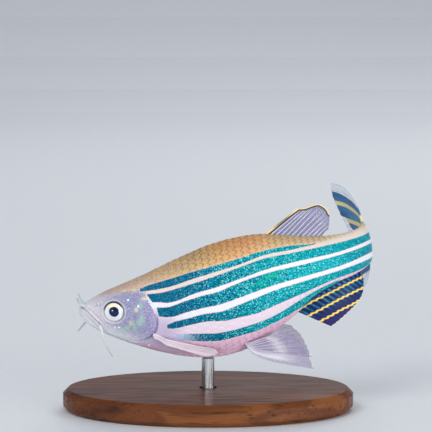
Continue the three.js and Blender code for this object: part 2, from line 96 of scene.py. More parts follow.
def heading(s):
    """Turn of the back at distance s: none before the bend, then growing with a power of the
    distance to the stalk's end, and evenly along the tail fin."""
    bent = np.maximum(0, np.minimum(s, standard_length) - bend_start)
    bent = bent / (standard_length - bend_start)
    return stalk_turn * bent**bend_growth + fin_turn * np.maximum(0, s - standard_length)


walked = np.arange(0, standard_length + 14, back_step)
back_x = np.concatenate([[0], np.cumsum(np.cos(heading(walked + back_step / 2)))]) * back_step
back_y = np.concatenate([[0], np.cumsum(np.sin(heading(walked + back_step / 2)))]) * back_step
walked = np.arange(len(back_x)) * back_step


def to_room(x, y, height):
    """A point of the fish, in millimetres from the snout, as a point of the room in metres: it
    is turned nose down by the pitch and carried to the snout's place."""
    along = snout_at[0] + x * np.cos(pitch) - height * np.sin(pitch)
    up = snout_at[2] + x * np.sin(pitch) + height * np.cos(pitch)
    return np.stack([along, snout_at[1] + y, up], -1) * mm


def place(s, side, height):
    """A point of the fish: s along the bent back, side to its right square to the back, and
    height above its axis."""
    turn = heading(s)
    x = np.interp(s, walked, back_x) + np.minimum(s, 0) - np.sin(turn) * side
    y = np.interp(s, walked, back_y) + np.cos(turn) * side
    return to_room(x, y, height)


def skin(s, angle, grow=0.0):
    """Side and height of the skin at distance s and angle round the body, 0 at the back and pi
    at the belly: an oval of two half heights, drawn in towards the back and filled out below."""
    top, bottom, level = profile(back_line, s), profile(belly_line, s), profile(widest_line, s)
    half = profile(half_width_line, s) + grow
    up, across = np.cos(angle), np.sin(angle)
    power = 1 + (back_ridge - 1) * np.maximum(up, 0) + (belly_round - 1) * np.maximum(-up, 0)
    side = half * np.sign(across) * np.abs(across) ** power
    reach = np.where(up > 0, top + grow - level, level - bottom + grow)
    return side, level + reach * up


def smooth_line(knots, count, closed=False):
    """Points evenly spaced along a curve through the knots: between two knots a cubic, whose
    slope at a knot is half the way between that knot's neighbours."""
    knots = np.array(knots, float)
    if closed:
        ring = np.concatenate([knots[-1:], knots, knots[:2]])
    else:
        ring = np.concatenate([knots[:1], knots, knots[-1:]])
    t = np.linspace(0, 1, 24, endpoint=False)[:, None, None]
    a, b = ring[1:-2], ring[2:-1]
    lean_a, lean_b = (b - ring[:-3]) / 2, (ring[3:] - a) / 2
    points = a + (b - a) * t * t * (3 - 2 * t) + lean_a * t * (1 - t) ** 2 + lean_b * t * t * (t - 1)
    points = points.transpose(1, 0, 2).reshape(-1, knots.shape[1])
    points = np.concatenate([points, ring[-2:-1]])
    run = np.concatenate([[0], np.cumsum(np.linalg.norm(np.diff(points, axis=0), axis=1))])
    at = np.linspace(0, run[-1], count, endpoint=not closed)
    return np.stack([np.interp(at, run, points[:, i]) for i in range(knots.shape[1])], -1)


def from_line(x, y, line):
    """Signed distance of each place from a line of points, positive on its left, and the share
    of the line's length at the nearest point."""
    a, b = line[:-1], line[1:]
    d = b - a
    flat = np.stack([x.ravel(), y.ravel()], -1)
    away = flat[:, None, :] - a[None]
    t = np.clip((away * d).sum(-1) / (d * d).sum(-1), 0, 1)
    gone = away - d[None] * t[..., None]
    far = np.linalg.norm(gone, axis=-1)
    near = np.argmin(far, axis=1)
    pick = np.arange(len(near))
    left = np.sign(d[near, 0] * away[pick, near, 1] - d[near, 1] * away[pick, near, 0])
    share = (near + t[pick, near]) / len(d)
    return (far[pick, near] * left).reshape(x.shape), share.reshape(x.shape)


def off_curve(x, y, knots, count=60):
    """Signed distance of each place from a smooth line through the knots, positive on its left."""
    return from_line(x, y, smooth_line(knots, count))[0]


def ridge(distance, at, width):
    """A soft ridge of height 1 that lies along the places at a given distance."""
    return np.exp(-(((distance - at) / width) ** 2))


def step(x, low, high):
    """A smooth step from 0 to 1 between two values."""
    t = np.clip((x - low) / (high - low), 0, 1)
    return t * t * (3 - 2 * t)


def grid_faces(rows, columns, around=False):
    """Four-cornered faces of a grid whose points run row by row; around joins the last column
    to the first."""
    i, j = np.meshgrid(np.arange(rows - 1), np.arange(columns - (not around)), indexing="ij")
    k = (j + 1) % columns
    faces = np.stack([i * columns + j, i * columns + k, (i + 1) * columns + k, (i + 1) * columns + j], -1)
    return faces.reshape(-1, 4)


eye_at = (4.1, -0.77)
eye_radius = 1.2
gape_line = [(0.2, 0.36), (0.93, -0.21), (1.35, -0.8), (1.84, -1.53), (2.3, -2.1)]
gill_outline = [
    (6.35, -0.75), (6.9, -0.1), (7.75, 0.05), (8.4, -0.7), (8.75, -1.7), (8.82, -2.5), (8.7, -3.1),
    (8.35, -3.8), (7.7, -4.35), (6.9, -4.65), (6, -4.7), (5.2, -4.4), (5.05, -3.85), (5.7, -3),
    (6.1, -1.9),
]
mouth_line = [(-1.2, 0.8)] + gape_line
lip_folds = [
    (0, 0.06, -0.14), (0.19, 0.12, 0.13), (0.42, 0.08, -0.07), (-0.18, 0.12, 0.08), (-0.42, 0.1, -0.02),
]
nostrils = [(2.22, 0.32, 0.13), (2.58, 0.3, 0.17)]
socket_edge = (0.98, 1.22)
socket_depth = 0.62
cheek_fold = [(4.6, -2.6), (4.9, -3.2), (5.7, -3.1), (6.2, -2.1), (6.4, -0.9)]
gill_folds = (0.45, 0.8, 1.15)


def closed_line(knots, count):
    """A smooth closed line through the knots, with its first point again at its end."""
    line = smooth_line(knots, count, closed=True)
    return np.concatenate([line, line[:1]])


def head_relief(s, height):
    """How far the skin stands out of the plain head, in millimetres: lips and the mouth's slit
    along the gape, two nostrils, the eye's socket and rim, the gill cover's edge and its folds.
    Each is a soft ridge or step of a height, by the distance from its line or middle."""
    relief = np.zeros_like(s)
    gape, share = from_line(s, height, smooth_line(mouth_line, 60))
    inside = (share < 0.995) * (1 - step(share, 0.9, 1.0) * step(np.abs(gape), 0.0, 0.35))
    for off, width, high in lip_folds:
        relief += high * ridge(gape, off, width) * inside
    for at_s, at_height, width in nostrils:
        far = np.hypot(s - at_s, height - at_height)
        relief += 0.05 * ridge(far, 1.55 * width, 0.6 * width) - 0.22 * ridge(far, 0, width)
    eye = np.hypot(s - eye_at[0], height - eye_at[1])
    relief += 0.07 * ridge(eye, 1.37, 0.09) - socket_depth * (1 - step(eye, *socket_edge))
    outline = closed_line(gill_outline, 160)
    cover = np.abs(from_line(s, height, outline)[0]) * np.where(inside_of(s, height, outline), 1, -1)
    free = step(s - 0.35 * height, 6.4, 7.6) * (0.3 + 0.7 * step(-height, 0.8, 2.4))
    relief += 0.1 * step(cover, -0.02, 0.1) * free + 0.1 * step(cover, 0, 1.6) * (1 - free)
    relief -= 0.17 * ridge(cover, -0.08, 0.08) * free
    relief -= 0.05 * ridge(off_curve(s, height, cheek_fold, 40), 0, 0.09)
    for drop in gill_folds:
        relief -= 0.03 * ridge(cover, -drop, 0.08) * step(-height, 2.8, 4.2) * (1 - step(s, 7.8, 8.8))
    return relief


def inside_of(x, y, outline):
    """Whether each place is inside a closed outline: a ray to the side crosses it oddly often."""
    odd = np.zeros(x.shape, bool)
    for (ax, ay), (bx, by) in zip(outline[:-1], outline[1:]):
        if ay != by:
            odd ^= ((ay > y) != (by > y)) & (x < (bx - ax) * (y - ay) / (by - ay) + ax)
    return odd


head_length = 9.7
head_rows, trunk_rows, end_rows, around = 200, 108, 7, 280
rows_s = np.concatenate([
    head_length * np.linspace(0, 1, head_rows) ** 1.3,
    np.linspace(head_length, standard_length, trunk_rows)[1:],
    np.full(end_rows, standard_length),
])
end_turn = np.linspace(0, np.pi / 2, end_rows + 1)[1:]
narrowed = np.concatenate([np.ones(len(rows_s) - end_rows), np.cos(end_turn)])
beyond = np.concatenate([np.zeros(len(rows_s) - end_rows), stalk_end * np.sin(end_turn)])
skin_angle = np.linspace(0, 2 * np.pi, around, endpoint=False)
skin_s, skin_turn = np.meshgrid(rows_s, skin_angle, indexing="ij")
skin_side, skin_height = skin(skin_s, skin_turn)
skin_side = skin_side * narrowed[:, None]
skin_points = place(skin_s + beyond[:, None], skin_side, skin_height)


def outward(points):
    """Unit directions square to a closed-round grid of points, from the grid's two slopes."""
    along = np.gradient(points, axis=0)
    round_it = np.roll(points, -1, axis=1) - np.roll(points, 1, axis=1)
    out = np.cross(round_it, along)
    size = np.linalg.norm(out, axis=-1, keepdims=True)
    return out / np.maximum(size, 1e-12)


skin_out = outward(skin_points)
if (skin_out[10, around // 4] @ np.array([0, 1, 0])) < 0:
    skin_out = -skin_out
relief = np.zeros_like(skin_s)
relief[:head_rows] = head_relief(skin_s[:head_rows], skin_height[:head_rows])
relief[0] = relief[1].mean()
skin_points = skin_points + skin_out * relief[..., None] * mm
skin_points[0] = skin_points[0].mean(0)

# Markings, shared by skin and scales: grains of pigment under clear scales on the real animal,
# and thin glazes under lacquer on the model. Each stripe has its start, its end and the slant of
# its front, then knots of distance, upper edge and lower edge, read off the flank in millimetres.
stripes = [
    (7.55, 28.3, 0.0, [
        (7.5, 1.25, 0.95), (8.4, 1.45, 0.9), (9.5, 1.6, 0.87), (11.5, 1.81, 0.96), (13.5, 2.05, 1.26),
        (16.5, 2.32, 1.6), (19.5, 2.57, 1.9), (22.5, 2.84, 2.33), (25.5, 2.7, 2.24), (27.7, 2.34, 2.18),
    ]),
    (8.2, 50, 0.54, [
        (8.2, 0.58, -0.33), (9.5, 0.48, -0.57), (10.5, 0.48, -0.8), (11.5, 0.58, -0.76),
        (13.5, 0.79, -0.36), (16.5, 1.2, -0.06), (19.5, 1.62, 0.36), (22.5, 2.0, 0.75),
        (25.5, 1.9, 0.84), (30.5, 1.7, 0.68), (34.5, 1.5, 0.7), (38, 1.38, 0.5),
    ]),
    (9.07, 50, 0.05, [
        (9, -1.1, -2.14), (10.5, -1.26, -2.48), (12.5, -0.96, -2.24), (14.5, -0.72, -2.12),
        (16.5, -0.6, -2.08), (18.5, -0.18, -1.8), (20.5, 0.15, -1.52), (22.5, 0.33, -1.26),
        (26.5, 0.35, -1.04), (30.5, 0.33, -0.95), (34.5, 0.28, -0.76), (38, 0.05, -1.0),
    ]),
    (9.8, 50, 0.0, [
        (9.7, -3.36, -3.72), (10.5, -3.14, -3.88), (12.5, -2.97, -3.8), (14.5, -2.83, -3.76),
        (16.5, -2.92, -4.08), (18.5, -2.56, -4.06), (20.5, -2.22, -4.02), (22.5, -1.87, -3.62),
        (25.5, -1.62, -3.07), (29.5, -1.46, -2.4), (33.5, -1.4, -2.26), (38, -1.6, -2.2),
    ]),
    (9.6, 30.2, 0.0, [
        (9.6, -4.5, -5.1), (11.5, -4.7, -5.6), (13.5, -5.05, -6.05), (15.5, -5.38, -6.38),
        (17.5, -5.38, -6.3), (19.5, -5.22, -6.2), (21.5, -4.98, -5.86), (23.5, -4.42, -5.38),
        (25.5, -3.67, -4.7), (27.5, -3.04, -4.3), (30.5, -2.53, -3.8),
    ]),
]
lowest_stripe = 4
faint_front = (8.6, 15.6)
fin_base_line = [
    (24.9, -5.3), (25.6, -4.65), (26.8, -3.85), (27.8, -3.42), (28.8, -3.14), (29.6, -2.98),
    (30.4, -2.7), (31.4, -2.65), (32.5, -2.6), (33.4, -2.5),
]
fin_gold_line = [(25.15, -5.06), (25.8, -4.83), (26.5, -4.62), (27.6, -4.34)]
patches = {
    "green": [
        (4.45, -3.08, 0.7, 0.26), (5.2, -2.87, 0.4, 0.25), (6.12, -3.0, 0.32, 0.4),
        (6.75, -2.5, 0.3, 0.4), (7.15, -2.0, 0.3, 0.5), (7.35, -0.6, 0.25, 0.4),
    ],
    "gold": [
        (5.85, -2.45, 0.3, 0.35), (6.69, -0.96, 0.28, 0.28), (7.9, 0.14, 0.5, 0.18),
        (1.1, 0.3, 0.28, 0.1), (5.75, 1.32, 0.2, 0.1), (6.9, 1.25, 0.3, 0.1),
    ],
    "glint": [
        (6.0, 0.31, 0.15, 0.1), (7.04, -0.58, 0.13, 0.17), (3.81, -2.64, 0.09, 0.09),
        (4.29, -2.67, 0.14, 0.1), (7.23, -5.52, 0.13, 0.15),
    ],
    "sheen": [(21.3, -0.85, 0.9, 0.4), (22.9, -0.1, 0.95, 0.5)],
    "shade": [(2.1, -1.85, 0.16, 0.3), (0.55, 0.2, 0.3, 0.1)],
}


def marks(s, height, turn):
    """The markings at each place, as fields: its own lie; how far it is below the edge of the
    dark colour that the anal fin carries up the body, and from that fin's first gold line; the
    gill cover's dark seam; the signed distance inside the nearest stripe, how many stripes lie
    above it, and how far the lowest stripe has faded in; how far it belongs to the head; the dark
    crescent over the eye, partly dark pigment and partly painted shade under the socket's rim,
    and the pale ring on that rim, a painted highlight; the signed distance from the mouth's slit;
    and each kind of patch as a sum of soft ovals, among them painted white glints and painted
    shade at the mouth."""
    stripe = np.full(s.shape, -9.0)
    band = np.zeros(s.shape)
    for number, (start, end, slant, knots) in enumerate(stripes):
        at = np.maximum(s, knots[0][0])
        upper = profile([(k[0], k[1]) for k in knots], at)
        lower = profile([(k[0], k[2]) for k in knots], at)
        middle = (upper + lower) / 2
        front = 0.8 * (s - start - slant * (upper - height))
        ends = np.minimum(front, 0.25 * (end - s))
        stripe = np.maximum(stripe, np.minimum(np.minimum(upper - height, height - lower), ends))
        soft = 0.12 + 0.7 * (1 - step(s, 5.5, 8.2)) + 0.4 * step(s, 26.5, 31) * (number == 0)
        band += step(middle - height, -soft, soft)
        if number == lowest_stripe:
            faint = np.where(np.abs(height - middle) < 1.1, step(s, *faint_front), 1)
    near = (s > 4) & (s < 10)
    outline = closed_line(gill_outline, 100)
    head = 1 - step(s, 7.2, 9.3)
    head[near] = np.maximum(head[near], inside_of(s[near], height[near], outline))
    head = head * (1 - 0.9 * step(height, 0.1, 2.1) * step(s, 0.3, 3.2))
    eye = np.hypot(s - eye_at[0], height - eye_at[1])
    gape = np.full(s.shape, 9.0)
    gape[s < 3] = off_curve(s[s < 3], height[s < 3], mouth_line)
    below = -off_curve(s, height, fin_base_line) * (s > 24.5) * (s < 33.9)
    seam = np.zeros(s.shape)
    seam[near] = ridge(from_line(s[near], height[near], outline)[0], 0.03, 0.1)
    found = {
        "lie": np.stack([s, height, np.abs(np.angle(np.exp(1j * turn)))], -1),
        "stripe": stripe,
        "band": band,
        "faint": faint,
        "head": head,
        "gape": gape,
        "fin_base": below,
        "fin_gold": np.abs(off_curve(s, height, fin_gold_line, 40)),
        "seam": seam * step(s, 4.9, 6.4) * step(-height, 1.4, 2.8),
        # dark crescent over the eye: partly dark pigment, partly painted shade under the socket's upper rim
        "lid": 0.6 * ridge(eye, 1.2, 0.07) * step(height - eye_at[1], 0.0, 0.9),
        # pale ring on the socket's raised rim round the eye: a painted highlight
        "rim_light": ridge(eye, 1.34, 0.08) * (eye > 1.25),
    }
    for kind, ovals in patches.items():
        found[kind] = sum(
            np.exp(-(((s - a) / c) ** 2) - ((height - b) / d) ** 2) for a, b, c, d in ovals
        )
    return found


def feed(made, inputs):
    """Fills a node's inputs: a socket is linked, and a plain value is set."""
    for key, value in inputs.items():
        if isinstance(value, bpy.types.NodeSocket):
            made.id_data.links.new(value, made.inputs[key])
        else:
            made.inputs[key].default_value = value


def node(tree, kind, inputs={}, **settings):
    """One shader node, with its settings and its inputs."""
    made = tree.nodes.new(kind)
    for key, value in settings.items():
        setattr(made, key, value)
    feed(made, inputs)
    return made


def paint(code):
    """A colour from its six-figure code, as the linear values that shaders use."""
    value = np.array([int(code[i : i + 2], 16) for i in (0, 2, 4)]) / 255
    linear = np.where(value <= 0.04045, value / 12.92, ((value + 0.055) / 1.055) ** 2.4)
    return (*linear.tolist(), 1.0)


def blended(share, first, second):
    """The colour between two colours, each a socket or a code, by a share from 0 to 1."""
    first, second = (paint(c) if isinstance(c, str) else c for c in (first, second))
    inputs = {0: share, 6: first, 7: second}
    return node(share.id_data, "ShaderNodeMix", inputs, data_type="RGBA").outputs[2]


def eased(value, low, high, start=0.0, end=1.0):
    """A value carried smoothly from one range to another."""
    inputs = {0: value, 1: low, 2: high, 3: start, 4: end}
    return node(value.id_data, "ShaderNodeMapRange", inputs, interpolation_type="SMOOTHSTEP").outputs[0]


def sum_up(way, *values):
    """One step of arithmetic, of which the first value is a socket."""
    tree = values[0].id_data
    return node(tree, "ShaderNodeMath", dict(enumerate(values)), operation=way).outputs[0]


def times(first, *others):
    """The product of values, of which the first is a socket."""
    for other in others:
        first = sum_up("MULTIPLY", first, other)
    return first


def layered(colour, layers):
    """A colour with others laid over it in turn, each by its own share."""
    for share, over in layers:
        colour = blended(share, colour, over)
    return colour


def tones(value, stops):
    """Colours read along a line of stops, each a position and a colour code."""
    made = node(value.id_data, "ShaderNodeValToRGB", {0: value})
    line = made.color_ramp.elements
    while len(line) < len(stops):
        line.new(0.5)
    for element, (position, code) in zip(line, stops):
        element.position = position
        element.color = paint(code)
    return made.outputs["Color"]


def field_of(tree, name):
    """A field stored at the points of the piece."""
    return node(tree, "ShaderNodeAttribute", attribute_name=name).outputs["Fac"]


def new_group(name, takes, gives):
    """An empty shader group with named values going in and coming out."""
    group = bpy.data.node_groups.new(name, "ShaderNodeTree")
    for socket, kind in takes:
        group.interface.new_socket(socket, in_out="INPUT", socket_type=kind)
    for socket, kind in gives:
        group.interface.new_socket(socket, in_out="OUTPUT", socket_type=kind)
    return group, group.nodes.new("NodeGroupInput"), group.nodes.new("NodeGroupOutput")


def back_colours(at):
    """From nape to tail rosy brown, then ochre, warmest at the middle, and dusky on the ridge,
    with cells of gold and umber, and each scale outlined."""
    back = tones(at.length, [
        (0.04, "d4cacf"), (0.1, "d6bdb8"), (0.2, "e3cbbb"), (0.33, "e4c79c"), (0.45, "e4ba84"),
        (0.53, "e9b688"), (0.65, "e8c8a2"), (0.8, "d6c1a9"), (1.0, "c8b8a6"),
    ])
    top = tones(at.length, [
        (0.05, "a8949c"), (0.2, "9c8076"), (0.4, "8a6e54"), (0.48, "b26844"), (0.56, "ba6c44"),
        (0.64, "9c8264"), (0.8, "c0ac94"),
    ])
    freckle = times(eased(at.spark, 0.72, 0.84), eased(at.s, 2, 7, 0.4, 1), eased(at.rim, 0.0, 0.5, 0.6, 0.9))
    umber = times(eased(at.spark, 0.3, 0.1, 0, 0.45), eased(at.length, 0.6, 0.3, 0.3, 1))
    outlined = times(
        eased(at.rim, 0.25, 0.9), eased(at.turn, 1.25, 0.6, 0.1, 0.48), eased(at.s, 9, 15, 0.15, 1)
    )
    return layered(back, [
        (eased(at.turn, 1.0, 0.35, 0, 0.62), top), (freckle, "e9c552"), (umber, "8f6a78"),
        (outlined, "70504a"),
    ])


def flank_colours(at):
    """Pale bands between the stripes, lilac behind the head, and the rosy belly, where each scale is
    outlined, with its keel pale partly in its own colour and partly as painted rim light along the
    lower edge."""
    ground = tones(sum_up("DIVIDE", at.field("band"), len(stripes)), [
        (0.0, "dfccb4"), (0.2, "e1d6cd"), (0.4, "e9e9ef"), (0.6, "e9e8ef"), (0.8, "e5d6e2"), (1.0, "e0bdd2"),
    ])
    shoulder = times(eased(at.s, 12.4, 9.6, 0, 0.85), eased(at.turn, 1.3, 1.8))
    rosy = times(eased(at.turn, 2.2, 3.0), eased(at.s, 8, 14, 0.35, 1), 0.6)
    edge = times(eased(at.rim, 0.25, 1.0, 0, 0.5), eased(at.turn, 2.1, 2.4, 0.04, 1))
    # the keel: partly its own pale colour, partly painted rim light along the lower edge
    keel = times(eased(at.turn, 2.45, 2.95, 0, 0.75), eased(at.s, 24, 16, 0.3, 1))
    return layered(ground, [
        (shoulder, "bbaecb"), (rosy, "e296bc"), (edge, "9c7698"),
        (eased(at.grain, 0.4, 0.7, 0, 0.16), "cfb9d6"), (keel, "fde2f8"),
    ])


def head_colours(at):
    """Pearly, palest at the snout and chin, and finely speckled with violet and blue over the
    cheek. The chin and the underside are pale partly in their own colour and partly as painted
    rim light along the lower edge, which faces away from the lamps."""
    skull = tones(at.length, [
        (0.0, "dedbde"), (0.06, "cdc8d0"), (0.11, "a9a6bb"), (0.15, "9495ae"), (0.2, "9b98b6"),
        (0.26, "b3a8ca"),
    ])
    # chin, and the underside below: partly their own pale colour, partly painted rim light along the lower
    # edge
    chin = times(eased(at.turn, 1.9, 2.5, 0, 0.8), eased(at.s, 8.5, 5.0, 0.25, 1))
    rosy = times(eased(at.turn, 2.2, 2.7), eased(at.s, 5.0, 7.5, 0, 0.85))
    under = times(eased(at.turn, 2.45, 2.95, 0, 0.75), eased(at.s, 4.5, 7.5, 1, 0.3))
    cheek = times(eased(at.s, 2.5, 6.0, 0.25, 1), eased(at.turn, 2.5, 1.9, 0.25, 1))
    violet = times(cheek, eased(at.grain, 0.46, 0.6, 0, 0.75), eased(at.mottle, 0.42, 0.6, 0.35, 1))
    blue = times(cheek, eased(at.spark, 0.75, 0.95, 0, 0.5))
    pale = times(eased(at.grain, 0.5, 0.36, 0, 0.4), eased(at.other, 0.3, 0.8))
    return layered(skull, [
        (chin, "eef1fa"), (rosy, "e8b0da"), (under, "f1eff5"), (violet, "6f5892"), (blue, "8fa5cc"),
        (pale, "efe9f3"),
    ])


def head_marks(at, body):
    """Patches of green and gold and painted white glints, the gill cover's seam, a dark crescent
    over the eye, partly dark pigment and partly painted shade, a painted highlight on the rim
    round it, and painted shade at the mouth's corner, along its slit and in its folds."""
    patchy = eased(at.grain, 0.4, 0.6, 0.3, 0.9)
    # painted glints, a painted highlight on the eye's rim, the dark crescent over the eye that is partly
    # pigment and partly painted shade, and painted shade at the mouth's corner
    body = layered(body, [
        (times(at.field("green"), patchy), "9ccab4"), (times(at.field("gold"), patchy), "e0e8b8"),
        (times(at.field("seam"), 0.75), "8572a8"), (eased(at.field("glint"), 0.25, 0.7), "ffffff"),
        (times(at.field("rim_light"), 0.5), "e6e3ee"), (at.field("lid"), "24221f"),
        (times(at.field("shade"), 0.45), "6f688c"),
    ])
    # painted shade along the mouth's slit and in the grooves beside it
    for off, wide, dark, code in (
        (0.0, 0.08, 0.32, "6f688c"), (0.4, 0.09, 0.3, "8a84a4"), (-0.4, 0.08, 0.1, "a29cb6"),
    ):
        away = sum_up("ABSOLUTE", sum_up("SUBTRACT", at.field("gape"), off))
        body = blended(eased(away, wide, 0.0, 0, dark), body, code)
    return body


def stripe_colours(at):
    """Cells of light and dark pigment, deep teal in front and turquoise behind, with bright ones
    among them, a green sheen at the middle, and pale where the lowest stripe starts."""
    dark = tones(at.length, [(0.2, "00597a"), (0.45, "004e70"), (0.65, "005f7e"), (1.0, "006a86")])
    light = tones(at.length, [
        (0.2, "037093"), (0.35, "0c82a0"), (0.5, "0ca0ac"), (0.7, "06a8ae"), (1.0, "0898a6"),
    ])
    turned = sum_up("SUBTRACT", at.spark, eased(at.length, 0.25, 0.62, 0.75, 0.25))
    bright = times(
        eased(at.length, 0.24, 0.48, 0.14, 0.78), eased(at.length, 0.9, 0.65, 0.5, 1),
        eased(at.other, 0.86, 0.92),
    )
    green = times(at.field("sheen"), eased(at.spark, 0.4, 0.65, 0, 0.68))
    return layered(dark, [
        (eased(turned, -0.12, 0.12), light), (bright, "92ebe4"), (green, "18bf84"),
        (eased(at.field("faint"), 0.85, 0.15, 0, 0.75), "62b6c8"),
    ])


def danio_colours():
    """The shared markings as a group: it takes how near a place is to its scale's free edge."""
    group, given, result = new_group(
        "danio_colours",
        [("Rim", "NodeSocketFloat")],
        [("Color", "NodeSocketColor"), ("Roughness", "NodeSocketFloat"), ("Metallic", "NodeSocketFloat")],
    )
    lie = node(group, "ShaderNodeAttribute", attribute_name="lie").outputs["Vector"]
    lie = node(group, "ShaderNodeSeparateXYZ", {0: lie}).outputs
    where = node(group, "ShaderNodeTexCoord").outputs["Object"]
    cells = node(group, "ShaderNodeTexVoronoi", {"Vector": where, "Scale": 9500.0}).outputs["Color"]
    cells = node(group, "ShaderNodeSeparateColor", {0: cells}).outputs
    grain, mottle, cloud = (
        node(group, "ShaderNodeTexNoise", {"Vector": where, "Scale": scale}).outputs[0]
        for scale in (9000.0, 2400.0, 700.0)
    )
    at = SimpleNamespace(
        rim=given.outputs["Rim"], s=lie["X"], turn=lie["Z"], spark=cells[0], other=cells[1],
        length=sum_up("DIVIDE", lie["X"], standard_length), grain=grain, mottle=mottle,
        field=lambda name: field_of(group, name),
    )
    body = blended(eased(at.field("band"), 0.95, 0.05), flank_colours(at), back_colours(at))
    headed = sum_up("ADD", at.field("head"), times(grain, 0.9))
    body = head_marks(at, blended(eased(headed, 0.75, 1.15), body, head_colours(at)))

    # stripes with a ragged edge and a rosy fringe; the lowest starts as haze, then single cells
    inside = sum_up("ADD", at.field("stripe"), sum_up("MULTIPLY_ADD", grain, 0.16, -0.08))
    striped = eased(inside, -0.02, 0.04)
    faint = at.field("faint")
    fringe = times(eased(inside, -0.2, -0.05, 0, 0.35), eased(faint, 0.1, 0.7, 0.25, 1))
    haze = times(striped, eased(faint, 0.0, 0.3, 0, 0.6))
    shown = sum_up("ADD", faint, times(at.other, 0.5))
    striped = times(striped, eased(shown, 0.5, 1.0))
    # navy at the anal fin's base, with short teal strokes in line with its rays, and gold over it
    stroke = sum_up("SINE", times(at.s, 9.5))
    navy = blended(eased(stroke, 0.1, 0.9, 0, 0.6), "0c2a62", "1c6f98")
    body = layered(body, [
        (fringe, "f3c9bd"), (haze, "9fbcdc"), (striped, stripe_colours(at)),
        (eased(at.field("fin_base"), 0.0, 0.12), navy),
        (eased(at.field("fin_gold"), 0.14, 0.08), "f3cf62"),
    ])
    feed(result, {
        "Color": body, "Roughness": eased(cloud, 0.3, 0.7, 0.3, 0.42), "Metallic": times(striped, 0.12),
    })
    return group


colours = danio_colours()


def new_piece(name, points, faces, material, slot, stands_for=(), fields={}, weld=1e-8):
    """A piece of the fish from its points in metres and its faces. Points that coincide are
    joined, faces are turned outwards, and each field is stored at the points."""
    mesh = bpy.data.meshes.new(name)
    points = np.asarray(points, np.float32).reshape(-1, 3)
    mesh.vertices.add(len(points))
    mesh.vertices.foreach_set("co", points.ravel())
    mesh.loops.add(faces.size)
    mesh.loops.foreach_set("vertex_index", faces.astype(np.int32).ravel())
    mesh.polygons.add(len(faces))
    mesh.polygons.foreach_set("loop_start", np.arange(0, faces.size, faces.shape[1], dtype=np.int32))
    mesh.update(calc_edges=True)
    for field, values in fields.items():
        values = np.asarray(values, np.float32)
        if values.size == len(points):
            mesh.attributes.new(field, "FLOAT", "POINT").data.foreach_set("value", values.ravel())
        else:
            layer = mesh.attributes.new(field, "FLOAT_VECTOR", "POINT")
            layer.data.foreach_set("vector", values.ravel())
    body = bmesh.new()
    body.from_mesh(mesh)
    if weld:
        bmesh.ops.remove_doubles(body, verts=body.verts, dist=weld)
        bmesh.ops.dissolve_degenerate(body, edges=body.edges, dist=weld)
    bmesh.ops.recalc_face_normals(body, faces=body.faces)
    body.to_mesh(mesh)
    body.free()
    mesh.polygons.foreach_set("use_smooth", np.ones(len(mesh.polygons), bool))
    piece = bpy.data.objects.new(name, mesh)
    bpy.context.scene.collection.objects.link(piece)
    mesh.materials.append(material)
    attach(piece, "root")
    if stands_for:
        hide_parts(*stands_for)
    return piece


def new_material(name):
    """An empty material with its shader: gives the material, its node tree and the shader."""
    material = bpy.data.materials.new(name)
    material.use_nodes = True
    tree = material.node_tree
    return material, tree, tree.nodes["Principled BSDF"]


def dented(height, strength, depth):
    """A bump of a height that runs from 0 to 1 and is depth metres deep."""
    inputs = {"Height": height, "Strength": strength, "Distance": depth}
    return node(height.id_data, "ShaderNodeBump", inputs).outputs["Normal"]


def fine_grain():
    """The fine grain of the painted resin as a group: cloudy noise over the piece's own places,
    whose scale is in grains to the metre."""
    group, given, result = new_group(
        "fine_grain", [("Scale", "NodeSocketFloat"), ("Detail", "NodeSocketFloat")],
        [("Grain", "NodeSocketFloat")],
    )
    inputs = {"Vector": node(group, "ShaderNodeTexCoord").outputs["Object"]}
    inputs.update({name: given.outputs[name] for name in ("Scale", "Detail")})
    feed(result, {"Grain": node(group, "ShaderNodeTexNoise", inputs).outputs[0]})
    return group


resin_grain = fine_grain()


def grain_of(tree, scale, detail):
    """The fine grain placed in a material."""
    inputs = {"Scale": scale, "Detail": detail}
    return node(tree, "ShaderNodeGroup", inputs, node_tree=resin_grain).outputs["Grain"]


def skin_finish(name, rim):
    """A finish of the fish's skin: shared markings, a fine grain and a thin wet coat. Rim names
    the field of the scales' free edges, or is empty on bare skin."""
    material, tree, shader = new_material(name)
    look = node(tree, "ShaderNodeGroup", node_tree=colours)
    if rim:
        feed(look, {"Rim": field_of(tree, rim)})
    feed(shader, {
        "Base Color": look.outputs["Color"], "Roughness": look.outputs["Roughness"],
        "Metallic": look.outputs["Metallic"], "Specular IOR Level": 0.05,
        "Coat Weight": 0.02, "Coat Roughness": 0.2,
        "Normal": dented(grain_of(tree, 5200.0, 3.0), 0.35, 0.00006),
    })
    return material


new_piece(
    "fish_skin", skin_points, grid_faces(len(rows_s), around, True), skin_finish("fish_skin", ""),
    "head_skin", ("head", "lower_jaw", "gill_cover_left", "gill_cover_right", "trunk", "tail_stalk"),
    marks(skin_s, skin_height, skin_turn),
)

# Scales: thin, clear plates of bone, each rooted in its own pocket of skin and lying over the
# front of the next, like tiles. They cover trunk and stalk, and leave the head bare.
scale_rows = 23
scale_pitch = {"front": 0.8, "rear": 0.6}
pitch_change = (18, 36)
scale_cover = 2.05
scale_edge_drop = {"by": 0.4, "where square is": 0.84}
scale_lift = 0.11
scale_sunk = 0.02
scale_dome = 0.05
scale_half_width = 1.1
scales_from, scales_start, scales_stop = 9.0, 7.4, 36.8
forward_on_nape, forward_on_throat, forward_of_all = 1.1, 0.3, 0.25
plate_along = np.array([0, 0.3, 0.55, 0.75, 0.88, 0.95, 1.0, 1.01])
plate_across = np.linspace(-scale_half_width, scale_half_width, 6)
rim_width = 0.3
full_width = 1.6
shares = np.linspace(0, 1, 200)


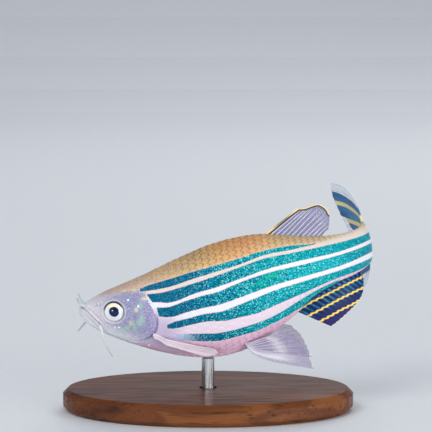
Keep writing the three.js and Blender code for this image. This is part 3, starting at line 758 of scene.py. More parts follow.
def round_share():
    """A table of the turn round the body by distance and by share of the way from back to belly
    along the skin, so that rows of scales are evenly wide at every distance."""
    s = np.linspace(7, standard_length + 1, 160)
    turn = np.linspace(0, np.pi, 400)
    side, height = skin(s[:, None] + 0 * turn, turn[None] + 0 * s[:, None])
    run = np.hypot(np.diff(side, axis=1), np.diff(height, axis=1)).cumsum(1)
    run = np.concatenate([np.zeros((len(s), 1)), run], axis=1)
    return s, np.array([np.interp(shares, r / r[-1], turn) for r in run])


table_s, table_turn = round_share()


def turn_at(s, share):
    """Turn round the body at a share of the way from back to belly, read between the four
    nearest entries of the table; a share below 0 or above 1 passes over to the other side."""
    folded = np.abs((share + 1) % 2 - 1)
    flipped = np.where((share % 2) > 1, -1, 1)
    i = np.clip((s - table_s[0]) / (table_s[1] - table_s[0]), 0, len(table_s) - 1.001)
    j = np.clip(folded * (len(shares) - 1), 0, len(shares) - 1.001)
    a, b = i.astype(int), j.astype(int)
    p, q = i - a, j - b
    low = table_turn[a, b] * (1 - q) + table_turn[a, b + 1] * q
    high = table_turn[a + 1, b] * (1 - q) + table_turn[a + 1, b + 1] * q
    return (low * (1 - p) + high * p) * flipped


column_s = [scales_start]
while column_s[-1] < scales_stop:
    slack = step(column_s[-1], *pitch_change)
    pitch_here = scale_pitch["front"] + (scale_pitch["rear"] - scale_pitch["front"]) * slack
    column_s.append(column_s[-1] + pitch_here)
column_s = np.array(column_s)
columns, rows = np.meshgrid(np.arange(len(column_s)), np.arange(2 * scale_rows), indexing="ij")
columns, rows = columns.ravel(), rows.ravel()
share_middle = (rows + 0.5 * (columns % 2)) / scale_rows
middle_height = skin(column_s[columns], turn_at(column_s[columns], share_middle))[1]
border = scales_from - forward_on_nape * (middle_height > 0.5) - forward_on_throat * (middle_height < -5.4)
kept = column_s[columns] >= border - forward_of_all
columns, rows = columns[kept], rows[kept]
share_middle = share_middle[kept][:, None, None]
start_s = column_s[columns][:, None, None]
pitch_s = np.gradient(column_s)[columns][:, None, None]
u, v = np.meshgrid(plate_along, plate_across, indexing="ij")
edge = scale_cover - scale_edge_drop["by"] * v**2 / scale_edge_drop["where square is"]
plate_s = start_s + pitch_s * u * edge
plate_share = share_middle + v / 2 / scale_rows + 0 * plate_s
rng = np.random.default_rng(7)
uneven = 0.9 + 0.2 * rng.random(len(columns))[:, None, None]
lifted = scale_lift * uneven * np.where(u <= 1, u**0.9, -0.1)
lifted = lifted - scale_dome * v**2 * np.clip(u, 0, 1) - scale_sunk
small = np.clip(profile(half_width_line, plate_s) / full_width, 0.35, 1)
plate_turn = turn_at(plate_s, plate_share)
plate_side, plate_height = skin(plate_s, plate_turn, lifted * small)
plate_points = place(plate_s, plate_side, plate_height)
rim = np.broadcast_to(np.clip((u - 1 + rim_width) / rim_width, 0, 1), plate_s.shape)
one = grid_faces(*u.shape)
plate_faces = (one[None] + (np.arange(len(columns)) * u.size)[:, None, None]).reshape(-1, 4)
coat = new_piece(
    "scales", plate_points, plate_faces, skin_finish("scales", "rim"), "flank_skin", (),
    {**marks(plate_s, plate_height, plate_turn), "rim": rim}, weld=0,
)
# the coat's map: each scale in a cell of its own, by its column and row
unwrap = coat.data.uv_layers.new(name="OFBake")
cell_half = 0.44
cell_u = (columns[:, None, None] + 0.5 + cell_half * (2 * np.minimum(u, 1.01) - 1.01)) / len(column_s)
cell_v = (rows[:, None, None] + 0.5 + cell_half * v / scale_half_width) / (2 * scale_rows)
cell = np.stack([cell_u, cell_v], -1).reshape(-1, 2)
corner = np.zeros(len(coat.data.loops), np.int32)
coat.data.loops.foreach_get("vertex_index", corner)
unwrap.data.foreach_set("uv", cell[corner].astype(np.float32).ravel())

# Eyes: a flattened ball in each socket, with a pale iris round a black pupil.
# On the model the ball is painted resin under a clear lens, as glass eyes are made.
eye_depth = 0.85
eye_proud = 0.4
eye_turn = 0.22
pupil_radius = 0.58
pupil_shift = (0.24, 0.11)
lens_groove = {"radius": 1.08, "width": 0.06, "depth": 0.05}
iris_edge = 1.25
eye_rings, eye_around = 72, 96
socket_turn = 1.8


def half_width_at(s, height):
    """Half the body's width at a height: the skin's side at the angle whose cosine gives it."""
    level = profile(widest_line, s)
    reach = np.where(height > level, profile(back_line, s) - level, level - profile(belly_line, s))
    return skin(s, np.arccos(np.clip((height - level) / reach, -1, 1)))[0]


def eye_frame(way):
    """Middle of an eye in metres and its three directions: outwards, backwards and up."""
    side = half_width_at(*eye_at) - eye_depth + eye_proud
    middle = place(eye_at[0], way * side, eye_at[1])
    out = to_room(-np.sin(eye_turn), way * np.cos(eye_turn), 0) - to_room(0, 0, 0)
    back = to_room(np.cos(eye_turn), way * np.sin(eye_turn), 0) - to_room(0, 0, 0)
    up = to_room(0, 0, 1) - to_room(0, 0, 0)
    return middle, out / mm, back / mm, up / mm


def eye_surface(way):
    """A flattened ball, turn by turn from its outer pole: its radius goes with the sine of the
    turn and its depth with the cosine, less a shallow groove where the lens meets the rim. Also
    each place's distance from the middle of the pupil, and how far it is beside and above it."""
    middle, out, back, up = eye_frame(way)
    turn, round_it = np.meshgrid(
        np.linspace(0, np.pi, eye_rings), np.linspace(0, 2 * np.pi, eye_around, endpoint=False),
        indexing="ij",
    )
    radius = eye_radius * np.sin(turn)
    groove = lens_groove["depth"] * ridge(radius, lens_groove["radius"], lens_groove["width"])
    depth = eye_depth * np.cos(turn) - groove * (turn < np.pi / 2)
    across, high = radius * np.cos(round_it), radius * np.sin(round_it)
    points = middle + (depth[..., None] * out + across[..., None] * back + high[..., None] * up) * mm
    shift = np.exp(-(radius**4))
    beside, above = across - pupil_shift[0] * shift, high - pupil_shift[1] * shift
    hidden = 9 * (turn > socket_turn)
    return points, np.stack([np.hypot(beside, above) + hidden, beside, above], -1)


eye_material, tree, shader = new_material("eye_ball")
field = node(tree, "ShaderNodeAttribute", attribute_name="ring")
split = node(tree, "ShaderNodeSeparateXYZ", {0: field.outputs["Vector"]})
radius, above = split.outputs["X"], split.outputs["Z"]
fleck = grain_of(tree, 9000.0, 3.0)
iris = tones(sum_up("DIVIDE", radius, iris_edge), [
    (0.47, "3d2a66"), (0.5, "e0e8f4"), (0.6, "d2e2f2"), (0.7, "f5f8fb"), (0.85, "fdfcf4"), (0.92, "ece9dc"),
])
glow = times(eased(above, 0.35, 0.8, 0, 0.85), eased(radius, 1.05, 0.85))
iris = blended(glow, iris, "fdf3ae")
iris = blended(eased(fleck, 0.5, 0.75, 0, 0.25), iris, "d9d6c6")
# dark crescent at the top of the iris: partly the iris's own dark upper part, partly painted shade under the
# socket's upper rim
lid = times(eased(radius, 1.0, 1.06), eased(above, 0.1, 0.6))
iris = blended(lid, iris, "262421")
iris = blended(eased(radius, pupil_radius + 0.02, pupil_radius - 0.02), iris, "01103a")
feed(shader, {
    "Base Color": iris, "Roughness": 0.3, "Specular IOR Level": 0.05, "Coat Weight": 1.0,
    "Coat IOR": 1.45, "Coat Roughness": 0.02, "Normal": dented(fleck, 0.15, 0.00003),
})
for word, way in (("left", -1), ("right", 1)):
    points, ring = eye_surface(way)
    new_piece(
        f"eye_ball_{word}", points, grid_faces(eye_rings, eye_around, True), eye_material, "eye",
        (f"eye_{word}",), {"ring": ring}, weld=2e-7,
    )

# Barbels: soft, tapering feelers, a short pair on the snout and a long pair at the mouth's corners.
# They are flesh on a thin core, and grow out of the lip without a seam.
barbel_lines = {
    "snout_barbel_left": (-1, (0.72, 0.42), [(-0.4, 0.35, 0.55), (-0.55, 0.77, 1.25)]),
    "snout_barbel_right": (1, (0.72, 0.42), [(-0.4, 0.35, 0.55), (-0.55, 0.77, 1.25)]),
    "mouth_barbel_left": (-1, (2.15, -2.25), [(0.12, 0.36, -0.8), (0.3, 0.66, -2.2), (0.75, 0.82, -3.6)]),
    "mouth_barbel_right": (1, (2.15, -2.2), [(-0.6, 0.6, 0.3), (-1.9, 1.15, 0.15), (-3.1, 1.52, -0.85)]),
}
barbel_clearance = 0.3
barbel_depth = 0.35
barbel_root_radius = 0.17
barbel_tip_radius = 0.065
barbel_end_radius = 0.002
barbel_flare = {"out": 0.08, "along": 0.05}
barbel_rings, barbel_around = 60, 14
ring_start = (0.3, 0.5, 0.8)


def tube(path, radius, sides):
    """A round tube along a path of points: each ring lies square to the path, and starts at the
    direction square to both the path and one fixed line."""
    along = np.gradient(path, axis=0)
    first = np.cross(along, ring_start)
    first /= np.linalg.norm(first, axis=1, keepdims=True)
    second = np.cross(along, first)
    second /= np.linalg.norm(second, axis=1, keepdims=True)
    turn = np.linspace(0, 2 * np.pi, sides, endpoint=False)
    ring = np.cos(turn)[None, :, None] * first[:, None] + np.sin(turn)[None, :, None] * second[:, None]
    return path[:, None] + ring * np.asarray(radius)[:, None, None]


barbel_material, tree, shader = new_material("barbel")
mottle = grain_of(tree, 3500.0, 3.0)
flesh = tones(
    field_of(tree, "run"), [(0.0, "dcd8e4"), (0.12, "dde6e2"), (0.5, "c2cfcd"), (1.0, "a4b4b2")]
)
flesh = blended(eased(mottle, 0.4, 0.7, 0, 0.15), flesh, "b0c0bd")
feed(shader, {
    "Base Color": flesh, "Roughness": 0.35, "Coat Weight": 0.2,
    "Normal": dented(mottle, 0.3, 0.00004),
})
for name, (way, (s, height), reach) in barbel_lines.items():
    side = half_width_at(s, height)
    start = place(s, way * (side + barbel_clearance), height) / mm
    inner = place(s, way * (side - barbel_depth), height) / mm
    turned = [to_room(x, way * y, z) / mm - to_room(0, 0, 0) / mm for x, y, z in reach]
    path = smooth_line([inner, start] + [start + t for t in turned], barbel_rings)
    run = np.linspace(0, 1, barbel_rings)
    radius = barbel_tip_radius + (barbel_root_radius - barbel_tip_radius) * (1 - run)
    radius = radius + barbel_flare["out"] * np.exp(-((run / barbel_flare["along"]) ** 2))
    radius[[0, -1]] = barbel_end_radius
    new_piece(
        f"{name}_soft", tube(path, radius, barbel_around) * mm,
        grid_faces(barbel_rings, barbel_around, True), barbel_material, "barbel", (name,),
        {"run": np.repeat(run[:, None], barbel_around, 1)}, weld=0,
    )

# Fins: bony rays, each split in two towards its tip and jointed along its length, under a
# thin membrane on both sides. On the model they are clear resin leaves, tinted and let into
# the body.
membrane_half = {"root": 0.11, "tip": 0.03}
membrane_scallop = 0.012
membrane_hollow = 0.35
fin_rows, fin_columns = 44, 8
ray_around = 8
ray_rings = {"whole": 40, "branch": 22}
ray_radius = {"root": 0.115, "taper": 0.085, "end": 0.004, "outer": 1.1, "out": 1.15, "across": 0.8}
ray_end = 0.995
probe = 0.1
# each stage of branching: where it starts and ends, its thickness, and its branches' places,
# each as a first and a second step aside in shares of the space between two rays
ray_stages = [
    (None, 0.5, 1.0, [(0.0, 0.0)]),
    (0.48, 0.78, 0.85, [(-0.17, 0.0), (0.17, 0.0)]),
    (0.76, ray_end, 0.7, [(-0.17, -0.1), (-0.17, 0.1), (0.17, -0.1), (0.17, 0.1)]),
]
parting = [(0.46, 0.72), (0.74, 0.92)]
# radians from root to tip of the sine wave that marks the rays' joints
ray_joints = 150.0


def fin_piece(name, root_line, tip_line, rays, single, locate, material, slot, start=-0.04, marked=None):
    """A fin between a root line and a margin. Across runs from ray to ray and along from root
    to tip; the membrane is a leaf that thins outwards and is drawn in between the rays, and
    each ray is a round bar that parts into two and then four. Rays numbered in single stay
    whole. Start is where the fin begins inside the body, as a share of its reach."""
    columns = (rays - 1) * fin_columns + 1
    roots, tips = smooth_line(root_line, columns), smooth_line(tip_line, columns)
    across_all = np.linspace(0, rays - 1, columns)

    def at(along, across, off):
        i = np.clip(across, 0, rays - 1)
        root = np.stack([np.interp(i, across_all, roots[:, k]) for k in (0, 1)], -1)
        tip = np.stack([np.interp(i, across_all, tips[:, k]) for k in (0, 1)], -1)
        flat = root + (tip - root) * along[..., None]
        return locate(flat[..., 0], flat[..., 1], off, along, i / (rays - 1)), flat

    along, across = np.meshgrid(np.linspace(start, 1, fin_rows), across_all, indexing="ij")
    between = np.sin(np.pi * across) ** 2
    along = np.where(along > 0, along * (1 - membrane_scallop * between), along)
    thinning = (1 - np.clip(along, 0, 1)) ** 2
    half = membrane_half["tip"] + (membrane_half["root"] - membrane_half["tip"]) * thinning
    half = half * (1 - membrane_hollow * between)
    front, flat = at(along, across, half)
    back, _ = at(along, across, -half)
    round_it = 2 * columns
    faces = [grid_faces(fin_rows, round_it, True)]
    j = np.arange(columns - 1)
    for first in (0, (fin_rows - 1) * round_it):
        faces.append(
            np.stack([first + j, first + j + 1, first + round_it - 2 - j, first + round_it - 1 - j], -1)
        )
    lie = np.stack([along, across, np.zeros_like(along)], -1)
    points, lies, flats = (
        [np.concatenate([a, b[:, ::-1]], axis=1).reshape(-1, a.shape[-1])]
        for a, b in ((front, back), (lie, lie), (flat, flat))
    )
    count = len(points[0])
    turn = np.linspace(0, 2 * np.pi, ray_around, endpoint=False)

    def add_bar(ray, low, high, rings, thickness, steps_aside):
        """One stretch of a ray: a bar round a line that steps aside as the ray parts."""
        nonlocal count
        along = np.linspace(low, high, rings)
        shift = sum(aside * step(along, *range_) for aside, range_ in zip(steps_aside, parting))
        across = np.clip(ray + shift, 0, rays - 1)
        thick = ray_radius["root"] - ray_radius["taper"] * np.clip(along, 0, 1) ** 0.8
        thick = thick * thickness * (ray_radius["outer"] if ray in (0, rays - 1) else 1)
        centre, flat = at(along, across, np.zeros(rings))
        out = at(along, across, np.full(rings, probe))[0] - centre
        out /= np.linalg.norm(out, axis=1, keepdims=True)
        aside = np.cross(np.gradient(centre, axis=0), out)
        aside /= np.linalg.norm(aside, axis=1, keepdims=True)
        thick[-1] = ray_radius["end"]
        ring = ray_radius["out"] * out[:, None] * np.cos(turn)[None, :, None]
        ring = ring + ray_radius["across"] * aside[:, None] * np.sin(turn)[None, :, None]
        bar = centre[:, None] + ring * thick[:, None, None] * mm
        lie = np.stack([along, across, np.ones(rings)], -1)
        for kept, new in ((points, bar), (lies, lie[:, None]), (flats, flat[:, None])):
            kept.append(np.broadcast_to(new, (rings, ray_around, new.shape[-1])).reshape(-1, new.shape[-1]))
        faces.append(grid_faces(rings, ray_around, True) + count)
        count += rings * ray_around

    for low, high, thickness, branches in ray_stages:
        for ray in range(rays):
            if ray not in single:
                for steps_aside in branches:
                    low_end = start if low is None else low
                    add_bar(ray, low_end, high, ray_rings["branch"], thickness, steps_aside)
            elif low is None:
                add_bar(ray, start, ray_end, ray_rings["whole"], thickness, branches[0])
    lies, flats = np.concatenate(lies), np.concatenate(flats)
    fields = {"fin_lie": lies}
    if marked:
        fields.update(marked(flats[:, 0], flats[:, 1], lies[:, 0], lies[:, 1]))
    return new_piece(
        f"{name}_leaf", np.concatenate(points), np.concatenate(faces), material, slot, (name,), fields,
        weld=0,
    )


def median(sway):
    """Places a fin of the middle line: its own pattern is distance and height, and it sways to
    one side with the square of the way out."""
    def locate(s, height, off, along, share):
        return place(s, off + sway * np.clip(along, 0, 1) ** 2, height)
    return locate


def fin_finish(name, web, bony, clearness, webbed=None, gloss=0.2):
    """A finish of a fin: tinted clear web, paler jointed rays, and markings laid over both. Web
    and bony are colours, clearness is how much the web and the rays cover, and gloss is the
    weight of the clear coat."""
    material, tree, shader = new_material(name)
    lie = node(tree, "ShaderNodeAttribute", attribute_name="fin_lie").outputs["Vector"]
    lie = node(tree, "ShaderNodeSeparateXYZ", {0: lie}).outputs
    at = SimpleNamespace(
        tree=tree, along=lie["X"], across=lie["Y"], ray=lie["Z"], field=lambda name: field_of(tree, name)
    )
    grain = grain_of(tree, 2600.0, 3.0)
    colour = blended(eased(grain, 0.3, 0.7, 0, 0.35), web[0], web[1])
    joint = sum_up("SINE", times(at.along, ray_joints))
    bone = blended(eased(joint, 0.55, 0.95, 0, 0.5), bony[0], bony[1])
    colour = blended(at.ray, colour, bone)
    cover = eased(at.ray, 0, 1, clearness[0], clearness[1])
    if webbed:
        colour, cover = webbed(at, colour, cover)
    height = sum_up("ADD", times(joint, 0.25), grain)
    feed(shader, {
        "Base Color": colour, "Alpha": cover, "Roughness": eased(grain, 0.2, 0.8, 0.28, 0.45),
        "Specular IOR Level": 2 * gloss, "Coat Weight": gloss, "Coat Roughness": 0.15,
        "Normal": dented(height, 0.3, 0.00005),
    })
    return material


def from_middle(value, middle):
    """How far a value is from a middle one, on either side."""
    return sum_up("ABSOLUTE", sum_up("SUBTRACT", value, middle))


def largest(first, second):
    """The larger of two values."""
    return sum_up("MAXIMUM", first, second)


def dorsal_marks(at, colour, cover):
    """A gold edge with a dark line under it, along the first ray and the upper margin. The gold
    is fainter at the middle of the first ray."""
    dark = eased(at.field("trim"), 0.34, 0.24)
    on_ray = eased(from_middle(at.along, 0.5), 0.1, 0.4, 0.35, 1)
    gold = times(eased(at.field("trim"), 0.15, 0.1), largest(eased(at.across, 0.5, 1.0), on_ray))
    return layered(colour, [(dark, "23222c"), (gold, "ffdc8c")]), largest(cover, largest(dark, gold))


def anal_marks(at, colour, cover):
    """Three beaded gold lines along the fin on navy, teal on the rays near the base, and a
    paler purple tip."""
    out = at.field("out")
    teal = sum_up("SINE", times(at.across, 2 * np.pi))
    teal = times(
        eased(teal, 0.1, 0.8), eased(out, 2.1, 0.5, 0, 0.8),
        eased(grain_of(at.tree, 900.0, 2.0), 0.35, 0.6, 0.3, 1),
    )
    gold = eased(at.field("bead"), 0.14, 0.08)
    colour = layered(colour, [
        (eased(out, 1.0, 3.2, 0, 0.9), "302a63"), (teal, "1f8fb0"), (gold, "f3cf62"),
    ])
    return colour, largest(cover, gold)


def tail_marks(at, colour, cover):
    """Gold stripes along the blue middle of the fin, and clear outer rays beyond it."""
    inside = at.field("blue")
    gold = eased(at.field("bead"), 0.32, 0.18, 0, 0.95)
    blue = eased(inside, -0.12, 0.12)
    deep = blended(eased(inside, 0.0, 1.2), "155c9e", "3189c0")
    deep = layered(deep, [(times(at.ray, 0.35), "77aecb"), (gold, "fff0a2")])
    return blended(blue, colour, deep), largest(cover, times(blue, 0.88))


def pelvic_marks(at, colour, cover):
    """A bright streak beside the leading ray, and a sheen across the middle of the fin."""
    streak = times(
        eased(at.across, 0.2, 1.2), eased(at.across, 3.2, 1.6), eased(at.along, 0.85, 0.45, 0, 0.75)
    )
    sheen = eased(from_middle(at.along, 0.55), 0.18, 0.02, 0, 0.55)
    bright = largest(streak, times(sheen, eased(at.across, 0.5, 3.5)))
    return blended(bright, colour, "faf6fb"), largest(cover, bright)


clear_material = fin_finish(
    "clear_fin", ("8d80a8", "a194b8"), ("e6e1ee", "b6aac8"), (0.36, 0.62), pelvic_marks
)
pink_material = fin_finish("pectoral_fin", ("fbeaf6", "fff2fa"), ("fff2fa", "f4e3f0"), (0.66, 0.75))
dorsal_material = fin_finish(
    "dorsal_fin", ("6f6796", "7d83ad"), ("e9ebf5", "bfc3da"), (0.56, 0.85), dorsal_marks
)
dark_material = fin_finish(
    "anal_fin", ("0a2258", "102c66"), ("12336e", "0d2660"), (0.93, 1.0), anal_marks, 0.05
)
tail_material = fin_finish(
    "tail_fin", ("8fa9cc", "a9bbd8"), ("dde6f2", "b6c6dc"), (0.12, 0.45), tail_marks, 0.08
)

fin_seat = 0.1
dorsal_root = [(s, profile(back_line, s) + fin_seat) for s in (23.2, 25.3, 27.4, 29.6)]
dorsal_margin = [
    (27.3, 6.62), (28.1, 6.5), (28.75, 6.58), (29.6, 6.6), (30.2, 6.2), (30.58, 5.68), (30.72, 5.15),
    (30.52, 4.2), (30.2, 3.35),
]
dorsal_rays = 12
dorsal_sway = -0.5
gold_ends = 7


def dorsal_fields(s, height, along, across):
    """Distance in millimetres from the fin's front edge and upper margin."""
    edge = np.concatenate([[dorsal_root[0]], smooth_line(dorsal_margin[:gold_ends], 60)])
    return {"trim": np.abs(from_line(s, height, edge)[0])}


fin_piece(
    "dorsal_fin", dorsal_root, dorsal_margin, dorsal_rays, (0, 1), median(dorsal_sway), dorsal_material,
    "clear_fin", marked=dorsal_fields,
)

anal_root = [(s, profile(belly_line, s) - fin_seat) for s in (25.1, 27.9, 30.7, 33.5)]
anal_margin = [(28.4, -7.8), (29.4, -7.35), (31.2, -6.4), (32.5, -5.6), (33.3, -4.6), (33.6, -3.3)]
anal_rays = 14
anal_sway = -0.4
anal_lines = [
    [(24.9, -5.15), (26.5, -4.62), (27.8, -4.3), (29.1, -4.0), (30.4, -3.72), (31.8, -3.48), (33.6, -3.25)],
    [(25.7, -6.15), (27.5, -5.68), (28.8, -5.32), (30.1, -4.98), (31.5, -4.73), (33.6, -4.42)],
    [(26.9, -7.05), (28.5, -6.65), (29.9, -6.25), (31.2, -6.0), (33, -5.6)],
]
bead_height = 0.055


def anal_fields(s, height, along, across):
    """Distance from the nearest of the gold lines, which wave once from ray to ray, and
    distance out from the first."""
    found = np.array([off_curve(s, height, line) for line in anal_lines])
    wave = bead_height * np.sin(2 * np.pi * across)
    return {"bead": np.abs(found + wave).min(0), "out": -found[0]}


fin_piece(
    "anal_fin", anal_root, anal_margin, anal_rays, (0, 1), median(anal_sway), dark_material, "dark_fin",
    marked=anal_fields,
)

tail_axis = 0.3
tail_root = [(38.15, -1.85), (38.15, tail_axis), (38.15, 2.5)]
tail_margin = [(46, -6.9), (46, -5.1), (45.1, -2.5), (44, tail_axis), (45.1, 3), (46, 5.2), (46, 6.8)]
tail_rays = 19
tail_bow = 0.33
tail_flare = 0.6
tail_lines = [
    [(37.9, 2.5), (38.6, 2.95), (39.7, 3.31), (41.72, 3.75), (43.54, 4.17), (46.4, 4.5)],
    [(37.9, 1.7), (39.2, 1.93), (40.58, 2.0), (42.2, 2.11), (44, 2.3), (46.4, 2.6)],
]
blue_edge = [
    (37.9, 3.1), (38.3, 3.6), (39.2, 4.05), (40.4, 4.45), (41.9, 4.9), (43.2, 5.28), (44.8, 5.65),
    (46.5, 5.9),
]
blue_end = [
    (46.3, 6.4), (46.05, 5), (46.04, 4), (45.65, 3.24), (44.82, 2.75), (43.75, 2.5), (43.42, 1.93),
    (42.99, 1.32), (42.15, 0.9), (41.6, tail_axis),
]


def bowed(height, along):
    """A height on the tail fin, whose rays bow away from the fish's axis by half a sine wave with
    its crest drawn towards the stalk."""
    return height * (1 + tail_bow * np.sin(np.pi * np.clip(along, 0, 1) ** tail_flare))


def tail_place(s, height, off, along, share):
    """Places the tail fin: its own pattern is distance and height, with bowed rays."""
    return place(s, off, bowed(height, along))


def tail_fields(s, height, along, across):
    """Distance from the nearest gold line, and how far inside the blue the place is. The lower
    lobe repeats the upper one about the fin's middle."""
    folded = tail_axis + np.abs(bowed(height, along) - tail_axis)
    found = [np.abs(off_curve(s, folded, line)) for line in tail_lines]
    blue, ending = (-off_curve(s, folded, line) for line in (blue_edge, blue_end))
    return {"bead": np.min(found, axis=0), "blue": np.minimum(blue, ending)}


fin_piece(
    "tail_fin", tail_root, tail_margin, tail_rays, (0, tail_rays - 1), tail_place, tail_material,
    "dark_fin", marked=tail_fields,
)

fan_root = 0.5


def fanned(fan, lengths, tilt):
    """Root line and margin of a fin whose rays fan out from a short, tilted root: angles in
    degrees run evenly over the fan, and each ray's length is read from the lengths by its place
    in it."""
    t = np.linspace(0, 1, 40)
    angle = np.radians(fan[0] + (fan[1] - fan[0]) * t)
    root = np.stack([np.cos(tilt), np.sin(tilt)]) * (fan_root * (t - 0.5))[:, None]
    reach = profile(lengths, t)
    return root, root + np.stack([np.cos(angle), np.sin(angle)], -1) * reach[:, None]


pectoral_fan = fanned((6, 10.5), [(0, 5.8), (0.35, 6.6), (0.7, 6.4), (1, 5.2)], np.pi / 2)
pectoral_rays = 6
pectoral_at = (8.4, np.radians(121.5))
pectoral_roundness = 4
pectoral_lift = {"root": 0.1, "base": 0.52, "tip": 0.48}
pelvic_fan = fanned(
    (-29, 8.5),
    [(0, 7.9), (0.12, 7.4), (0.25, 6.95), (0.4, 6.5), (0.57, 6), (0.7, 5.5), (0.85, 5), (1, 3.7)],
    1.2,
)
pelvic_rays = 9
pelvic_at = (18.7, 2.36, -7.64)
pelvic_splay = (np.radians(8), np.radians(3))
pelvic_cup = 0.15
pelvic_bow = 0.8
pelvic_start = -0.14
pelvic_tuck = {"narrowed": 0.65, "inwards": 0.7, "up": 0.25}


def pectoral_place(way):
    """Places a folded pectoral fin: its pattern is wrapped along the low flank, close to the
    skin at the root and lifted from it by a step past the root and by the square of the way out."""
    def locate(x, y, off, along, share):
        out = np.clip(along, 0, 1)
        lift = pectoral_lift["root"] + pectoral_lift["base"] * step(out, 0, 0.2)
        lift = lift + pectoral_lift["tip"] * out**2
        s = pectoral_at[0] + x
        side, height = skin(s, pectoral_at[1] + y / pectoral_roundness, lift + off)
        return place(s, way * side, height)
    return locate


def pelvic_place(way):
    """Places a spread pelvic fin: its pattern stands upright behind the belly, with the leading
    rays sagging by half a sine wave. It is turned about the fish's length and then about the
    upright, cups outwards with the square of the way out, and its root tucks into the belly."""
    roll, yaw = pelvic_splay
    root = place(pelvic_at[0], way * pelvic_at[1], pelvic_at[2])
    def locate(x, y, off, along, share):
        out = np.clip(along, 0, 1)
        tucked = np.clip(along / pelvic_start, 0, 1)
        x = x * (1 - pelvic_tuck["narrowed"] * tucked)
        y = y - pelvic_bow * (1 - share) * np.sin(np.pi * np.sqrt(out))
        cup = off + pelvic_cup * out**2
        aside = cup * np.cos(roll) - y * np.sin(roll) - pelvic_tuck["inwards"] * tucked
        up = cup * np.sin(roll) + y * np.cos(roll) + pelvic_tuck["up"] * tucked
        ahead = x * np.cos(yaw) - aside * np.sin(yaw)
        aside = x * np.sin(yaw) + aside * np.cos(yaw)
        return root + to_room(ahead, way * aside, up) - to_room(0, 0, 0)
    return locate


for word, way in (("left", -1), ("right", 1)):
    fin_piece(
        f"pectoral_fin_{word}", *pectoral_fan, pectoral_rays, (0,), pectoral_place(way), pink_material,
        "clear_fin", -0.06,
    )
    fin_piece(
        f"pelvic_fin_{word}", *pelvic_fan, pelvic_rays, (0,), pelvic_place(way), clear_material,
        "clear_fin", pelvic_start,
    )

# Stand: an oval plinth of turned dark wood, and a rod of drawn and polished steel that is let
# into it and ends just under the belly. The wood has a thin coat of wax.
def stretched_grain(tree, scales, **more):
    """Noise stretched along one line: scales are its grains to the metre in x, y and z."""
    where = node(tree, "ShaderNodeTexCoord").outputs["Object"]
    where = node(tree, "ShaderNodeMapping", {"Vector": where, "Scale": scales}).outputs[0]
    return node(tree, "ShaderNodeTexNoise", {"Vector": where, "Scale": 1.0, **more}).outputs[0]


base_material, tree, shader = new_material("stand_wood")
figure = stretched_grain(tree, (25.0, 260.0, 420.0), Detail=5.0, Distortion=0.6)
rings = sum_up("SINE", times(figure, 26.0))
pores = stretched_grain(tree, (220.0, 3600.0, 3600.0), Detail=2.0)
wood = tones(figure, [(0.3, "4a2614"), (0.5, "6d3d20"), (0.7, "834f2a")])
wood = blended(eased(rings, 0.1, 1.0, 0, 0.35), wood, "2f180e")
wood = blended(eased(pores, 0.58, 0.7, 0, 0.7), wood, "1f0f08")
feed(shader, {
    "Base Color": wood, "Roughness": eased(pores, 0.4, 0.7, 0.3, 0.5), "Specular IOR Level": 0.15,
    "Coat Weight": 0.06, "Coat Roughness": 0.25, "Normal": dented(pores, 0.2, -0.0001),
})
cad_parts["stand_base"].material_slots[0].material = base_material
rod_material, tree, shader = new_material("stand_steel")
drawn = stretched_grain(tree, (9000.0, 9000.0, 160.0), Detail=3.0)
feed(shader, {
    "Base Color": blended(drawn, "a4a8ad", "d4d6d9"), "Roughness": eased(drawn, 0.3, 0.7, 0.18, 0.34),
    "Metallic": 1.0, "Normal": dented(drawn, 0.1, 0.00002),
})
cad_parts["stand_rod"].material_slots[0].material = rod_material

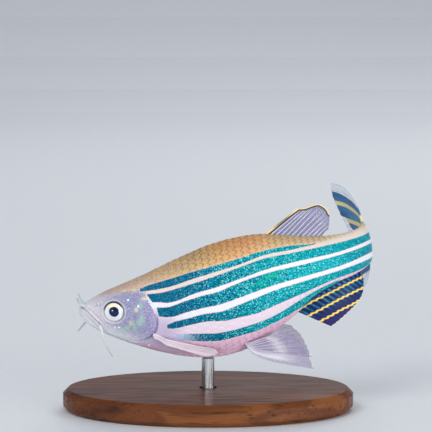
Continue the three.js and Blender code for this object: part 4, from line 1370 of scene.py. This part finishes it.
# Floor, light and camera: a sheet of pale card that curves up behind the model, lit by soft boxes
# from above, from both sides, low in front and from behind, and seen a little from above.
# Sizes and places here are in metres, and each lamp's power is in watts.
card_half_width = 1.5
card_front, card_back, card_top = -1.2, 0.7, 1.5
card_bend = 0.35
turns = np.linspace(0.05, np.pi / 2, 16)
floor_line = np.array([
    (card_front, 0.0),
    (card_back - card_bend, 0.0),
    *np.stack([card_back - card_bend * (1 - np.sin(turns)), card_bend * (1 - np.cos(turns))], -1),
    (card_back, card_top),
])
floor_points = np.stack([
    np.stack([np.full(len(floor_line), x), *floor_line.T], -1) for x in (-card_half_width, card_half_width)
])
floor_mesh = bpy.data.meshes.new("floor")
floor_mesh.from_pydata(floor_points.reshape(-1, 3), [], grid_faces(2, len(floor_line))[:, ::-1])
floor = bpy.data.objects.new("floor", floor_mesh)
bpy.context.scene.collection.objects.link(floor)
floor_material, tree, shader = new_material("floor_card")
fibre = grain_of(tree, 900.0, 4.0)
feed(shader, {"Base Color": blended(fibre, "e6e9ec", "eceef1"), "Roughness": 0.85})
floor_mesh.materials.append(floor_material)

world = bpy.data.worlds.new("studio")
bpy.context.scene.world = world
world.use_nodes = True
feed(world.node_tree.nodes["Background"], {"Color": (0.85, 0.9, 1, 1), "Strength": 0.4})

fish_middle = Vector((0.00093, 0, 0.02287))
for name, at, size, power in (
    ("key_light", (-0.2, -0.26, 0.34), (0.25, 0.25), 0.68),
    ("fill_light", (0.3, -0.3, 0.12), (0.3, 0.3), 0.16),
    ("low_light", (0.2, -0.2, 0.018), (0.2, 0.025), 0.41),
    ("face_light", (-0.143, -0.271, 0.033), (0.035, 0.035), 0.16),
    ("back_light", (0.1, 0.3, 0.3), (0.25, 0.25), 0.5),
):
    light = bpy.data.lights.new(name, "AREA")
    light.shape = "RECTANGLE"
    light.size, light.size_y = size
    light.energy = power
    lamp = bpy.data.objects.new(name, light)
    bpy.context.scene.collection.objects.link(lamp)
    lamp.location = at
    lamp.rotation_euler = (fish_middle - Vector(at)).to_track_quat("-Z", "Y").to_euler()

bpy.context.scene.view_settings.view_transform = "Standard"
camera_distance = 0.26
camera_elevation = np.radians(8)
seen_width = 0.05007
camera_data = bpy.data.cameras.new("camera")
camera_data.sensor_width = 36
camera_data.lens = camera_data.sensor_width * camera_distance / seen_width
camera_data.clip_start = 0.01
camera = bpy.data.objects.new("camera", camera_data)
bpy.context.scene.collection.objects.link(camera)
towards_camera = Vector((0, -np.cos(camera_elevation), np.sin(camera_elevation)))
camera.location = fish_middle + camera_distance * towards_camera
camera.rotation_euler = (np.pi / 2 - camera_elevation, 0, 0)
bpy.context.scene.camera = camera
